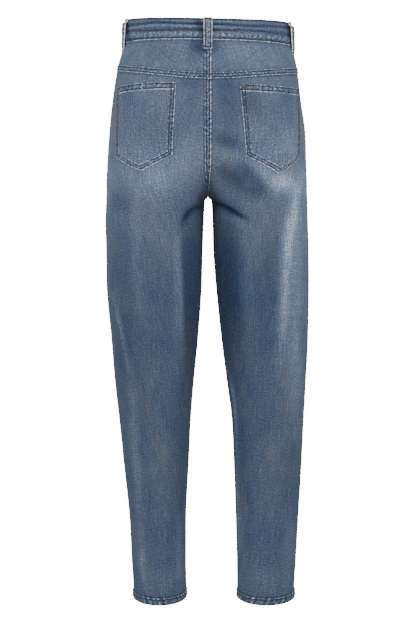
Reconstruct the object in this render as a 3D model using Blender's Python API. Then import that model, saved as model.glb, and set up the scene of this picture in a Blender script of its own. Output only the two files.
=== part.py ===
"""Barrel jeans of mid-blue stretch denim, filled out with no wearer and open at the waist and hems.

The cloth is cut and sewn as real jeans are: two fronts, two backs, two yokes, a waistband whose ends
overlap, patch pockets, pocket facings, a fly, belt loops and a button. Every panel is a wall of cloth.
Its points come from one table of level sections, and what lies on a panel is moved out from the same
surface. The frame is +Z up with the front facing -Y and the wearer's left at +X. The origin is the middle
of the waist opening. Sizes are in millimetres until a mesh is made, and "drop" is the depth below the
origin.
"""
import math

import bpy
import numpy as np

MM = 0.001

# Cloth
CLOTH = 1.5
SEAM_GAP = 0.3
HALF_GAP = SEAM_GAP / 2
LAY_GAP = 0.45
FELL_RAISE = 0.9
FELL_WIDTH = 4.6
STEP_WIDTH = 1.0

# Levels of the main seams
WAISTBAND_TOP = -1.0
WAISTBAND_TOP_DIP = 4.0
WAISTBAND_SEAM = 40.0
YOKE_SEAM = 85.5
YOKE_SLANT = 11.5
YOKE_SLANT_END = 215.0
YOKE_FELL_HEIGHT = 9.5
CROTCH = 298.0
HEM = 981.0
HEM_SLANT_START = 880.0
HEM_BACK_DIP = 12.0
HEM_FRONT_RISE = 9.0
HEM_HEIGHT = 11.0
WAIST_TILT = 0.02
WAIST_TILT_END = 260.0

# Waistband
BAND_PROUD = 0.9
BAND_THICK = 2.8
BAND_UNDERLAP = 35.0
BAND_OVERLAP = 4.0
BAND_STEP_START = 6.0
BAND_STEP_END = 34.0

# Level sections of the filled-out cloth. Each leg has its own reach from the centre plane, because the
# legs stand a little differently. Crown is where the section is deepest. An inner reach below zero is
# where the leg's rounded section would end if the centre plane did not cut it. Square is the
# superellipse exponent.
SECTION_COLUMNS = ("drop", "left_out", "left_crown", "left_in", "right_out", "right_crown", "right_in",
                   "seam_y", "front_y", "back_y", "square")
SECTIONS = (
    (-14, 140.0, 0.0, -260.0, 141.0, 0.0, -260.0, 1.0, -99.0, 105.0, 2.20),
    (0, 141.5, 0.0, -260.0, 142.5, 0.0, -260.0, 1.0, -100.5, 107.0, 2.20),
    (36, 144.5, 9.0, -260.0, 145.5, 9.0, -260.0, 0.0, -105.0, 111.0, 2.22),
    (78, 155.0, 31.0, -260.0, 153.5, 30.0, -260.0, 0.0, -112.0, 122.0, 2.25),
    (130, 163.5, 52.0, -250.0, 159.5, 50.5, -250.0, -1.0, -117.0, 136.0, 2.28),
    (200, 170.5, 71.0, -150.0, 168.0, 70.0, -150.0, -2.0, -119.0, 145.0, 2.30),
    (250, 173.5, 80.0, -62.0, 169.0, 77.5, -62.0, -3.0, -116.0, 141.0, 2.28),
    (280, 174.5, 85.0, -15.0, 170.0, 82.5, -15.0, -3.0, -113.0, 134.0, 2.25),
    (292, 174.5, 86.7, -4.5, 170.0, 84.3, -4.5, -3.0, -112.0, 130.5, 2.23),
    (298, 174.5, 87.5, 0.0, 170.5, 85.2, 0.0, -3.0, -111.4, 128.5, 2.22),
    (304, 174.6, 88.2, 2.2, 170.6, 86.0, 2.6, -3.0, -110.8, 126.5, 2.21),
    (315, 175.0, 89.4, 4.6, 170.9, 87.4, 5.2, -3.0, -109.8, 122.5, 2.20),
    (338, 176.0, 91.2, 7.0, 171.5, 89.6, 7.6, -3.0, -108.0, 115.0, 2.20),
    (390, 174.5, 92.0, 9.5, 173.0, 91.0, 9.5, -4.0, -107.0, 105.5, 2.20),
    (441, 174.0, 92.4, 10.8, 173.5, 93.3, 13.2, -4.0, -105.0, 98.0, 2.20),
    (544, 165.5, 91.6, 17.7, 172.0, 97.8, 23.6, -4.0, -100.0, 88.0, 2.20),
    (613, 160.0, 92.3, 24.6, 168.5, 100.3, 32.2, -4.0, -94.0, 82.0, 2.20),
    (682, 152.0, 91.0, 30.0, 164.5, 102.7, 41.0, -2.0, -85.0, 77.0, 2.18),
    (750, 145.0, 89.1, 33.2, 161.0, 102.6, 44.2, 1.0, -75.0, 74.0, 2.15),
    (854, 134.0, 86.0, 38.0, 154.5, 101.1, 47.8, 5.0, -61.0, 70.0, 2.12),
    (922, 130.5, 84.3, 38.2, 150.5, 100.1, 49.6, 8.0, -54.0, 68.0, 2.10),
    (966, 127.8, 82.4, 37.0, 148.0, 99.0, 50.0, 10.0, -50.0, 68.0, 2.10),
    (981, 128.3, 82.4, 36.6, 148.6, 99.0, 49.4, 10.0, -49.5, 68.5, 2.10),
    (1010, 128.5, 82.4, 36.4, 148.8, 99.0, 49.2, 10.0, -49.5, 68.8, 2.10),
)

# Extra reach at the inseam just below the crotch, where the legs part at once
PARTING_COLUMNS = ("drop", "left", "right")
PARTING = (
    (298, 0.0, 0.0), (303, 3.4, 3.6), (315, 2.0, 2.0), (338, 0.5, 0.6), (390, 0.0, 0.0), (1010, 0.0, 0.0),
)
PARTING_START = 0.78
PARTING_FULL = 0.97

# How far each long seam turns towards the back, in degrees, because both legs twist the same way.
TURN_COLUMNS = ("drop", "left_side", "left_inseam", "right_side", "right_inseam")
SEAM_TURNS = (
    (300, 0.0, 0.0, 0.0, 0.0),
    (420, 5.0, -2.0, -2.0, 2.0),
    (640, 9.0, -4.0, -4.0, 9.0),
    (850, 10.0, -4.0, -4.0, 11.0),
    (1010, 8.0, -4.0, -4.0, 9.0),
)

# The largest folds, each a soft trough (depth below zero) or ridge along a bent line. Across is the
# distance from the centre plane and face is +1 at the back and -1 at the front.
FOLD_COLUMNS = ("leg", "face", "across_a", "drop_a", "across_b", "drop_b", "across_c", "drop_c",
                "depth", "width")
FOLDS = (
    ("right", 1, 6, 300, 24, 318, 62, 330, -5.5, 10),
    ("right", 1, 20, 268, 62, 300, 100, 292, -3.0, 17),
    ("right", 1, 150, 272, 134, 400, 118, 640, 3.0, 16),
    ("right", 1, 104, 330, 100, 450, 92, 590, -2.6, 20),
    ("left", 1, 8, 306, 34, 326, 52, 352, -5.0, 10),
    ("left", 1, 50, 350, 46, 500, 52, 640, -3.6, 15),
    ("left", 1, 64, 350, 60, 500, 66, 640, 2.4, 13),
    ("left", 1, 128, 300, 132, 420, 122, 600, -2.2, 18),
    ("left", 1, 168, 292, 150, 318, 128, 330, -2.4, 11),
    ("left", -1, 10, 290, 62, 262, 118, 236, -3.6, 12),
    ("left", -1, 8, 304, 58, 300, 112, 280, -3.0, 12),
    ("left", -1, 84, 590, 108, 610, 140, 602, -2.6, 14),
    ("right", -1, 10, 288, 60, 266, 112, 242, -3.6, 12),
    ("right", -1, 8, 305, 56, 304, 108, 288, -3.0, 12),
    ("right", -1, 92, 604, 118, 618, 148, 606, -2.6, 14),
)
FOLD_SAMPLES = 25

# Corners of the back patch pockets, by arc from the centre back seam and by drop
POCKET_CORNERS = {
    "left": {"top_inner": (53.0, 114.5), "top_outer": (181.0, 118.0), "low_inner": (60.5, 235.0),
             "tip": (117.0, 261.0), "low_outer": (172.5, 236.0)},
    "right": {"top_inner": (53.0, 116.0), "top_outer": (190.0, 115.5), "low_inner": (64.5, 236.0),
              "tip": (126.0, 265.0), "low_outer": (175.0, 236.5)},
}
POCKET_TOP_BOW = {"left": 1.1, "right": -1.1}
POCKET_HEM = 11.0
POCKET_HEM_RAISE = 0.6
POCKET_SPANS = 12
POCKET_DOWN_SPANS = 9

# Belt loops: a strap that stands off the waistband between two sewn feet
LOOP_WIDTH = 14.0
LOOP_THICK = 1.8
LOOP_LEVEL = 8.0
LOOP_PROFILE_COLUMNS = ("drop", "stand_off")
LOOP_PROFILE = (
    (-2.0, 0.5), (3.0, 0.5), (7.5, 6.2), (16.5, 6.2), (27.0, 5.0), (37.5, 4.0), (46.5, 3.4),
    (50.5, 0.5), (56.0, 0.5),
)
LOOP_COLUMNS = ("name", "leg", "face", "arc_from_centre")
LOOPS = (
    ("belt_loop_back", "left", 1, 0.0),
    ("belt_loop_side_left", "left", 1, 168.0),
    ("belt_loop_side_right", "right", 1, 168.0),
    ("belt_loop_front_left", "left", -1, 84.0),
    ("belt_loop_front_right", "right", -1, 84.0),
)

# Front pocket mouth, a quarter ellipse cut out of the front at the side seam, and its facing
MOUTH_ACROSS = 60.0
MOUTH_DROP = 84.0
FACING_THICK = 1.2
FACING_UNDERLAP = 1.14
FACING_SINK = CLOTH + LAY_GAP

# Fly flap and zip, by arc from the centre front seam
FLY_LAP = 4.0
FLY_WIDTH = 36.0
FLY_STRAIGHT_END = 134.0
FLY_CURVE_DROP = 42.0
FLY_THICK = 1.0
ZIP_HALF_WIDTH = 11.0
ZIP_THICK = 1.0
ZIP_END = 166.0

# Waistband button
BUTTON_ARC = 10.0
BUTTON_DROP = 20.0
BUTTON_PROFILE_COLUMNS = ("radius", "height")
BUTTON_PROFILE = (
    (3.2, 0.0), (3.2, 1.3), (8.2, 1.5), (8.5, 2.2), (8.2, 3.0), (6.9, 3.2), (6.3, 2.7), (2.0, 2.9),
)
BUTTON_SIDES = 24

# Meshing
PANEL_SPANS = 14
GROWTH_TOP = 205.0
GROWTH_FOOT = 360.0
GROWTH_POWER = 3.0
SECTION_SAMPLES = 241
NORMAL_STEP = 0.01
BACK_ROWS = (
    116, 134, 152, 170, 188, 206, 223, 238, 252, 264, 274, 282, 289, 294, 298, 302, 308, 317, 329,
    344, 364, 390, 420, 455, 492, 532, 574, 618, 662, 708, 754, 800, 846, 890, 930,
)
FRONT_TOP_ROWS = (59, 79, 96, 108, 116, 121, 123.6)
FRONT_ROWS = BACK_ROWS[1:]

LEG_SIGN = {"left": 1.0, "right": -1.0}

# Colours and finishes, as base colour, roughness and metallic
DENIM = ((0.105, 0.160, 0.245), 0.85, 0.0)
DENIM_WORN = ((0.200, 0.250, 0.330), 0.85, 0.0)
DENIM_DARK = ((0.060, 0.095, 0.155), 0.88, 0.0)
BRASS = ((0.420, 0.270, 0.150), 0.40, 1.0)
TAPE = ((0.090, 0.095, 0.110), 0.90, 0.0)


def smoothstep(low, high, value):
    """0 below low, 1 above high and a smooth rise between."""
    t = np.clip((np.asarray(value, float) - low) / (high - low), 0.0, 1.0)
    return t * t * (3.0 - 2.0 * t)


def monotone_slopes(x, y):
    """Slopes at the points of a smooth curve that never overshoots its table."""
    step = np.diff(x)
    rise = np.diff(y) / step
    slope = np.zeros(len(x))
    slope[0], slope[-1] = rise[0], rise[-1]
    for i in range(1, len(x) - 1):
        if rise[i - 1] * rise[i] > 0:
            w1 = 2 * step[i] + step[i - 1]
            w2 = step[i] + 2 * step[i - 1]
            slope[i] = (w1 + w2) / (w1 / rise[i - 1] + w2 / rise[i])
    return slope


class Curve:
    """One named column of a table as a smooth function of the first column."""

    def __init__(self, columns, rows, name):
        self.x = np.array([row[0] for row in rows], float)
        self.y = np.array([row[columns.index(name)] for row in rows], float)
        self.slope = monotone_slopes(self.x, self.y)

    def __call__(self, value):
        value = np.clip(np.asarray(value, float), self.x[0], self.x[-1])
        i = np.clip(np.searchsorted(self.x, value, side="right") - 1, 0, len(self.x) - 2)
        step = self.x[i + 1] - self.x[i]
        t = (value - self.x[i]) / step
        h00 = (1 + 2 * t) * (1 - t) ** 2
        h10 = t * (1 - t) ** 2
        h01 = t * t * (3 - 2 * t)
        h11 = t * t * (t - 1)
        return (h00 * self.y[i] + h10 * step * self.slope[i]
                + h01 * self.y[i + 1] + h11 * step * self.slope[i + 1])


SECTION = {name: Curve(SECTION_COLUMNS, SECTIONS, name) for name in SECTION_COLUMNS[1:]}
PART = {name: Curve(PARTING_COLUMNS, PARTING, name) for name in PARTING_COLUMNS[1:]}
TURN = {name: Curve(TURN_COLUMNS, SEAM_TURNS, name) for name in TURN_COLUMNS[1:]}


def section_sizes(leg, drop):
    """Outer and inner reach, crown, seam depth, front, back and exponent of one leg at a drop."""
    return (SECTION[leg + "_out"](drop), SECTION[leg + "_in"](drop), SECTION[leg + "_crown"](drop),
            SECTION["seam_y"](drop), SECTION["front_y"](drop), SECTION["back_y"](drop),
            SECTION["square"](drop))


def section_point(leg, angle, drop):
    """Point of the plain surface. Angle is 0 at the side, 90 degrees at the back and -90 at the front."""
    outer, inner, crown, seam_y, front, back, square = section_sizes(leg, drop)
    c, s = np.cos(angle), np.sin(angle)
    power = 2.0 / square
    across = crown + np.where(c >= 0, outer - crown, crown - inner) * np.sign(c) * np.abs(c) ** power
    across = across + PART[leg](drop) * smoothstep(PARTING_START, PARTING_FULL, -c)
    depth = seam_y + np.where(s >= 0, back - seam_y, seam_y - front) * np.sign(s) * np.abs(s) ** power
    height = -np.asarray(drop, float) + 0.0 * across
    return np.stack([across, depth, height], axis=-1)


def section_normal(leg, angle, drop):
    """Outward normal of the plain surface."""
    along = (section_point(leg, angle + NORMAL_STEP, drop)
             - section_point(leg, angle - NORMAL_STEP, drop))
    down = section_point(leg, angle, drop + NORMAL_STEP) - section_point(leg, angle, drop - NORMAL_STEP)
    normal = np.cross(down, along)
    return normal / np.linalg.norm(normal, axis=-1, keepdims=True)


def fold_line(fold):
    """Points along a fold's bent line, as across and drop."""
    t = np.linspace(0.0, 1.0, FOLD_SAMPLES)[:, None]
    a, b, c = (np.array(pair, float) for pair in (fold[2:4], fold[4:6], fold[6:8]))
    return (1 - t) ** 2 * a + 2 * t * (1 - t) * b + t ** 2 * c, t[:, 0]


FOLD_LINES = [(fold, *fold_line(fold)) for fold in FOLDS]


def fold_height(leg, angle, drop, point):
    """How far the folds move the surface out, in millimetres."""
    facing = np.sin(angle)
    total = np.zeros(np.shape(point)[:-1])
    for fold, line, along in FOLD_LINES:
        if fold[0] != leg:
            continue
        away = np.stack([point[..., 0, None] - line[:, 0], -point[..., 2, None] - line[:, 1]], axis=-1)
        far = np.linalg.norm(away, axis=-1)
        near = far.argmin(axis=-1)
        fade = np.sin(np.pi * np.clip(along[near], 0.04, 0.96)) ** 0.6
        shape = np.exp(-(far.min(axis=-1) / fold[9]) ** 2)
        total += fold[8] * shape * fade * smoothstep(0.0, 0.35, facing * fold[1])
    return total


def surface(leg, angle, drop, out=0.0):
    """Points of the cloth's outer face moved out along the surface, in the wearer's left-hand frame."""
    angle, drop = np.broadcast_arrays(np.asarray(angle, float), np.asarray(drop, float))
    plain = section_point(leg, angle, drop)
    normal = section_normal(leg, angle, drop)
    lift = fold_height(leg, angle, drop, plain) + np.asarray(out, float)
    return plain + normal * lift[..., None]


def to_frame(leg, points):
    """The left-hand frame's points placed on their own side, with the waist's slight tilt."""
    placed = np.array(points, float)
    placed[..., 0] *= LEG_SIGN[leg]
    fade = 1.0 - smoothstep(0.0, WAIST_TILT_END, -placed[..., 2])
    placed[..., 2] += WAIST_TILT * placed[..., 0] * fade
    return placed


def centre_angle(leg, drop, face):
    """Angle at which the section ends: at the centre plane, or at the inseam below the crotch."""
    outer, inner, crown, _, _, _, square = section_sizes(leg, drop)
    if crown > HALF_GAP:
        share = min(1.0, (crown - HALF_GAP) / max(crown - inner, 1e-6))
        end = math.acos(-share ** (square / 2))
    else:
        share = (HALF_GAP - crown) / (outer - crown)
        end = math.acos(share ** (square / 2))
    if drop > CROTCH:
        end -= face * math.radians(float(TURN[leg + "_inseam"](drop)))
    return end


def side_angle(leg, drop, face):
    """Angle of the side seam, measured towards the given face."""
    return face * math.radians(float(TURN[leg + "_side"](drop)))


def even_lengths(leg, face):
    """Row lengths above and below the crotch, between which a row's even part changes steadily."""
    if (leg, face) not in EVEN_LENGTHS:
        EVEN_LENGTHS[leg, face] = (Row(leg, face, GROWTH_TOP).length, Row(leg, face, GROWTH_FOOT).length)
    return EVEN_LENGTHS[leg, face]


EVEN_LENGTHS = {}


class Row:
    """One line of cloth points across a panel, from the side seam to the centre seam or inseam."""

    def __init__(self, leg, face, level):
        self.leg, self.face = leg, face
        slant = 0.0
        if face > 0:
            slant = YOKE_SLANT * float(1.0 - smoothstep(YOKE_SEAM, YOKE_SLANT_END, level))
            slant *= float(smoothstep(WAISTBAND_SEAM, YOKE_SEAM, level))
        start = side_angle(leg, level, face)
        end = centre_angle(leg, level + slant, face)
        share = np.linspace(0.0, 1.0, SECTION_SAMPLES)
        self.angle = face * (start + share * (end - start))
        hem = float(smoothstep(HEM_SLANT_START, HEM, level))
        dip = HEM_BACK_DIP if face > 0 else HEM_FRONT_RISE
        self.drop = level + slant * (2 * share - 1) + hem * dip * np.sin(self.angle)
        points = section_point(leg, self.angle, self.drop)
        steps = np.linalg.norm(np.diff(points, axis=0), axis=1)
        self.arc = np.concatenate([[0.0], np.cumsum(steps)])
        self.length = self.arc[-1]
        self.even_length = self.length
        if GROWTH_TOP < level < GROWTH_FOOT:
            self.even_length = float(np.interp(level, (GROWTH_TOP, GROWTH_FOOT), even_lengths(leg, face)))

    def at(self, arc):
        """Angle and drop at arcs from the side seam."""
        return np.interp(arc, self.arc, self.angle), np.interp(arc, self.arc, self.drop)


def panel_arcs(row, start=HALF_GAP):
    """Arcs of a panel's points, which lie evenly except where the row grows longer round the crotch.

    There the growth goes to the points nearest the inseam, so that the panel's lines of points stay
    nearly upright. The last two points are the edges of the felled seam.
    """
    end = row.length - HALF_GAP
    fell = end - FELL_WIDTH - STEP_WIDTH
    share = np.linspace(0.0, 1.0, PANEL_SPANS - 1)
    growth = max(0.0, row.length - row.even_length)
    arcs = start + share * (fell - start - growth) + growth * share ** GROWTH_POWER
    return np.concatenate([arcs, [fell + STEP_WIDTH, end]])


def wall_mesh(name, outer, inner, finish):
    """One closed wall between two grids of points, in the object's frame."""
    rows, cols = outer.shape[:2]
    count = rows * cols
    points = np.concatenate([outer.reshape(-1, 3), inner.reshape(-1, 3)]) * MM
    faces = []
    for r in range(rows - 1):
        for c in range(cols - 1):
            a, b, d, e = r * cols + c, r * cols + c + 1, (r + 1) * cols + c, (r + 1) * cols + c + 1
            down = np.linalg.norm(points[e] - points[a])
            up = np.linalg.norm(points[d] - points[b])
            halves = ((a, d, e), (a, e, b)) if down < up else ((a, d, b), (b, d, e))
            for half in halves:
                faces.append(half)
                faces.append(tuple(count + i for i in half[::-1]))
    for r in range(rows - 1):
        for c, flip in ((0, False), (cols - 1, True)):
            a, b = r * cols + c, (r + 1) * cols + c
            quad = (a, count + a, count + b, b)
            faces.append(quad[::-1] if flip else quad)
    for c in range(cols - 1):
        for r, flip in ((0, True), (rows - 1, False)):
            a, b = r * cols + c, r * cols + c + 1
            quad = (a, count + a, count + b, b)
            faces.append(quad[::-1] if flip else quad)
    return finished_object(name, points, faces, finish)


def finished_object(name, points, faces, finish):
    """A named object with smooth shading, its own material and faces that point out."""
    mesh = bpy.data.meshes.new(name)
    mesh.from_pydata([tuple(p) for p in points], [], faces)
    mesh.update()
    corners = points[np.array([[f[0], f[i], f[i + 1]] for f in faces for i in range(1, len(f) - 1)])]
    if np.linalg.det(corners).sum() < 0:
        mesh.flip_normals()
    mesh.shade_smooth()
    mesh.set_sharp_from_angle(angle=math.radians(40))
    mesh.materials.append(material(name, *finish))
    obj = bpy.data.objects.new(name, mesh)
    bpy.context.scene.collection.objects.link(obj)
    return obj


def material(name, colour, roughness, metallic):
    """A plain finish for one piece."""
    made = bpy.data.materials.new(name)
    made.use_nodes = True
    shader = made.node_tree.nodes["Principled BSDF"]
    shader.inputs["Base Color"].default_value = (*colour, 1.0)
    shader.inputs["Roughness"].default_value = roughness
    shader.inputs["Metallic"].default_value = metallic
    return made


def cloth_wall(name, leg, angles, drops, raises, thick, finish):
    """A wall from grids of angle, drop and raise. Nothing crosses the centre plane."""
    outer = surface(leg, angles, drops, raises)
    inner = surface(leg, angles, drops, -thick)
    if name.split("_")[0] in ("front", "back", "yoke"):
        outer[..., 0] = np.maximum(outer[..., 0], HALF_GAP)
        inner[..., 0] = np.maximum(inner[..., 0], HALF_GAP)
    return wall_mesh(name, to_frame(leg, outer), to_frame(leg, inner), finish)


def panel(name, leg, face, levels, level_raises, finish, starts=None):
    """A front, back or yoke panel from its list of levels."""
    angles, drops, raises = [], [], []
    for i, level in enumerate(levels):
        row = Row(leg, face, level)
        arcs = panel_arcs(row, HALF_GAP if starts is None else starts[i])
        angle, drop = row.at(arcs)
        raised = np.zeros(len(arcs))
        raised[-2:] = FELL_RAISE
        angles.append(angle)
        drops.append(drop)
        raises.append(np.maximum(raised, level_raises[i]))
    return cloth_wall(name, leg, np.array(angles), np.array(drops), np.array(raises), CLOTH, finish)


def hem_levels():
    """Levels and raises of the turned-up hem at the foot of a leg panel."""
    return [(HEM - HEM_HEIGHT - STEP_WIDTH, 0.0), (HEM - HEM_HEIGHT, FELL_RAISE), (HEM, FELL_RAISE)]


def back_panel(leg):
    """The back from the yoke seam to the hem, with the felled band along its top."""
    levels = [(YOKE_SEAM + HALF_GAP, FELL_RAISE), (YOKE_SEAM + YOKE_FELL_HEIGHT, FELL_RAISE),
              (YOKE_SEAM + YOKE_FELL_HEIGHT + STEP_WIDTH, 0.0)]
    levels += [(level, 0.0) for level in BACK_ROWS] + hem_levels()
    return panel("back_" + leg, leg, 1, [v[0] for v in levels], [v[1] for v in levels], DENIM)


def yoke(leg):
    """The back yoke between the waistband and the back panel."""
    levels = np.linspace(WAISTBAND_SEAM + HALF_GAP, YOKE_SEAM - HALF_GAP, 5)
    return panel("yoke_" + leg, leg, 1, levels, np.zeros(len(levels)), DENIM_WORN)


def mouth_arc(drop):
    """Arc from the side seam to the edge of the front pocket's mouth."""
    share = np.clip((np.asarray(drop, float) - WAISTBAND_SEAM) / MOUTH_DROP, 0.0, 1.0)
    return MOUTH_ACROSS * np.sqrt(1.0 - share ** 2)


def front_panel(leg):
    """The front from the waistband to the hem, with the pocket mouth cut out of its top corner."""
    levels = [(WAISTBAND_SEAM + HALF_GAP, 0.0)] + [(level, 0.0) for level in FRONT_TOP_ROWS]
    levels += [(level, 0.0) for level in FRONT_ROWS] + hem_levels()
    starts = [HALF_GAP + float(mouth_arc(level)) for level, _ in levels]
    return panel("front_" + leg, leg, -1, [v[0] for v in levels], [v[1] for v in levels], DENIM, starts)


def pocket_facing(leg):
    """The facing that fills the front pocket's mouth and runs in behind the front."""
    rows = []
    for level in np.linspace(WAISTBAND_SEAM + HALF_GAP, WAISTBAND_SEAM + MOUTH_DROP * 1.10, 9):
        share = (level - WAISTBAND_SEAM) / (MOUTH_DROP * FACING_UNDERLAP)
        reach = MOUTH_ACROSS * FACING_UNDERLAP * math.sqrt(1.0 - share ** 2)
        row = Row(leg, -1, level)
        arcs = np.linspace(HALF_GAP, reach, 8)
        angle, drop = row.at(arcs)
        inside = np.hypot(arcs / MOUTH_ACROSS, (level - WAISTBAND_SEAM) / MOUTH_DROP)
        rows.append((angle, drop, -FACING_SINK * smoothstep(0.70, 0.93, inside)))
    angles, drops, raises = (np.array(v) for v in zip(*rows))
    outer = surface(leg, angles, drops, raises)
    inner = surface(leg, angles, drops, raises - FACING_THICK)
    return wall_mesh("pocket_facing_" + leg, to_frame(leg, outer), to_frame(leg, inner), DENIM_DARK)


def by_centre_arc(leg, face, arc, drop):
    """Angle at an arc from the centre seam, on a level line."""
    angle = face * np.linspace(centre_angle(leg, drop, face), 0.0, SECTION_SAMPLES)
    points = section_point(leg, angle, drop)
    steps = np.linalg.norm(np.diff(points, axis=0), axis=1)
    return float(np.interp(arc, np.concatenate([[0.0], np.cumsum(steps)]), angle))


def back_pocket(leg):
    """The five-sided patch pocket with its turned top hem."""
    corner = POCKET_CORNERS[leg]
    hem_share = POCKET_HEM / (corner["low_inner"][1] - corner["top_inner"][1])
    step_share = hem_share * (1.0 + STEP_WIDTH / POCKET_HEM)
    downs = [0.0, hem_share] + list(np.linspace(step_share, 1.0, POCKET_DOWN_SPANS))
    shares = np.linspace(0.0, 1.0, POCKET_SPANS + 1)
    angles = np.zeros((len(downs), len(shares)))
    drops = np.zeros_like(angles)
    raises = np.full_like(angles, LAY_GAP + CLOTH)
    raises[:2] += POCKET_HEM_RAISE
    knots = [corner[name][0] for name in ("low_inner", "tip", "low_outer")]
    lows = [corner[name][1] for name in ("low_inner", "tip", "low_outer")]
    for c, share in enumerate(shares):
        top_arc, top = np.array(corner["top_inner"]) * (1 - share) + np.array(corner["top_outer"]) * share
        top -= POCKET_TOP_BOW[leg] * math.sin(math.pi * share)
        low_arc = corner["low_inner"][0] * (1 - share) + corner["low_outer"][0] * share
        low = float(np.interp(low_arc, knots, lows))
        for r, down in enumerate(downs):
            drops[r, c] = top + down * (low - top)
            angles[r, c] = by_centre_arc(leg, 1, top_arc + down * (low_arc - top_arc), drops[r, c])
    outer = surface(leg, angles, drops, raises)
    inner = surface(leg, angles, drops, LAY_GAP)
    return wall_mesh("pocket_back_" + leg, to_frame(leg, outer), to_frame(leg, inner), DENIM_WORN)


def ring_samples(level):
    """The whole ring at the waist, from the centre front round the wearer's right and back to it."""
    parts = []
    for leg, face, reverse in (("right", -1, True), ("right", 1, False), ("left", 1, True),
                               ("left", -1, False)):
        end = centre_angle(leg, level, face)
        angle = face * np.linspace(0.0, end, SECTION_SAMPLES)
        parts.append((leg, angle[::-1] if reverse else angle))
    points, normals, angles = [], [], []
    for leg, angle in parts:
        drop = level + 0.0 * angle
        top = WAISTBAND_TOP_DIP * np.sin(angle) ** 2 * float(smoothstep(WAISTBAND_SEAM, WAISTBAND_TOP, level))
        place = section_point(leg, angle, drop + top)
        normal = section_normal(leg, angle, drop + top)
        place[:, 0] *= LEG_SIGN[leg]
        normal[:, 0] *= LEG_SIGN[leg]
        points.append(place)
        normals.append(normal)
        angles.append(angle)
    points, normals = np.concatenate(points), np.concatenate(normals)
    steps = np.linalg.norm(np.diff(points, axis=0), axis=1)
    arc = np.concatenate([[0.0], np.cumsum(steps)])
    keep = np.concatenate([[True], steps > 1e-6])
    return arc[keep], points[keep], normals[keep]


def waistband():
    """The doubled band, whose left end laps over the right end at the centre front."""
    levels = np.linspace(WAISTBAND_TOP, WAISTBAND_SEAM - HALF_GAP, 4)
    outer, inner = [], []
    for level in levels:
        arc, points, normals = ring_samples(level)
        around = arc[-1]
        under = np.linspace(-BAND_UNDERLAP, BAND_STEP_END + 4.0, 9)
        over = np.linspace(BAND_STEP_END + 16.0, around + BAND_OVERLAP, 50)
        at = np.concatenate([under, over])
        wrapped = np.mod(at, around)
        place = np.stack([np.interp(wrapped, arc, points[:, k]) for k in range(3)], axis=1)
        facing = np.stack([np.interp(wrapped, arc, normals[:, k]) for k in range(3)], axis=1)
        sink = (BAND_THICK + LAY_GAP) * (1.0 - smoothstep(BAND_STEP_START, BAND_STEP_END, at))
        outer.append(place + facing * (BAND_PROUD - sink)[:, None])
        inner.append(place + facing * (BAND_PROUD - BAND_THICK - sink)[:, None])
    outer, inner = np.array(outer), np.array(inner)
    fade = WAIST_TILT * (1.0 - smoothstep(0.0, WAIST_TILT_END, -outer[..., 2]))
    outer[..., 2] += fade * outer[..., 0]
    inner[..., 2] += fade * inner[..., 0]
    return wall_mesh("waistband", outer, inner, DENIM)


def belt_loop(name, leg, face, centre_arc):
    """A loop made from the points of the band and panel under it, moved out by its profile."""
    across = np.array([-LOOP_WIDTH / 2, -LOOP_WIDTH / 6, LOOP_WIDTH / 6, LOOP_WIDTH / 2])
    level_length = Row(leg, face, LOOP_LEVEL).length
    outer, inner = [], []
    for drop, stand in LOOP_PROFILE:
        base = BAND_PROUD if drop < WAISTBAND_SEAM + 3.0 else 0.0
        if face > 0 and centre_arc == 0.0:
            base = max(base, FELL_RAISE)
        middle = centre_arc * Row(leg, face, max(drop, WAISTBAND_TOP)).length / level_length
        near, far = [], []
        for offset in across:
            arc = middle + offset
            side = leg if arc >= 0 else ("right" if leg == "left" else "left")
            angle = by_centre_arc(side, face, max(abs(arc), HALF_GAP), max(drop, WAISTBAND_TOP))
            dip = WAISTBAND_TOP_DIP * math.sin(angle) ** 2
            dip *= float(smoothstep(WAISTBAND_SEAM, WAISTBAND_TOP, drop))
            angle = by_centre_arc(side, face, max(abs(arc), HALF_GAP), drop + dip)
            for grid, out in ((near, stand), (far, stand + LOOP_THICK)):
                grid.append(to_frame(side, surface(side, angle, drop + dip, base + out)))
        inner.append(near)
        outer.append(far)
    return wall_mesh(name, np.array(outer), np.array(inner), DENIM)


def strip_on_front(name, arcs, levels_of, low, thick, finish):
    """A strip across the centre front seam, where arcs below zero lie on the wearer's right."""
    outer, inner = [], []
    for share in np.linspace(0.0, 1.0, 8):
        near, far = [], []
        for arc in arcs:
            side = "left" if arc >= 0 else "right"
            top, bottom = levels_of(arc)
            drop = top + share * (bottom - top)
            angle = by_centre_arc(side, -1, max(abs(arc), HALF_GAP), drop)
            near.append(to_frame(side, surface(side, angle, drop, low)))
            far.append(to_frame(side, surface(side, angle, drop, low + thick)))
        inner.append(near)
        outer.append(far)
    return wall_mesh(name, np.array(outer), np.array(inner), finish)


def fly():
    """The fly flap, whose free edge laps the centre front and whose foot curves in to the seam."""
    def levels(arc):
        share = min(1.0, max(0.0, arc) / (FLY_WIDTH + 2.0))
        return WAISTBAND_SEAM + SEAM_GAP, FLY_STRAIGHT_END + FLY_CURVE_DROP * math.sqrt(1.0 - share ** 2)
    arcs = np.concatenate([[-FLY_LAP], np.linspace(0.2, FLY_WIDTH, 8)])
    return strip_on_front("fly_flap", arcs, levels, FELL_RAISE + LAY_GAP, FLY_THICK, DENIM)


def zip_tape():
    """The closed zip behind the centre front seam."""
    def levels(_):
        return WAISTBAND_SEAM + BAND_THICK, ZIP_END
    arcs = np.linspace(-ZIP_HALF_WIDTH, ZIP_HALF_WIDTH, 6)
    return strip_on_front("zip", arcs, levels, -CLOTH - LAY_GAP - ZIP_THICK, ZIP_THICK, TAPE)


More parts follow.
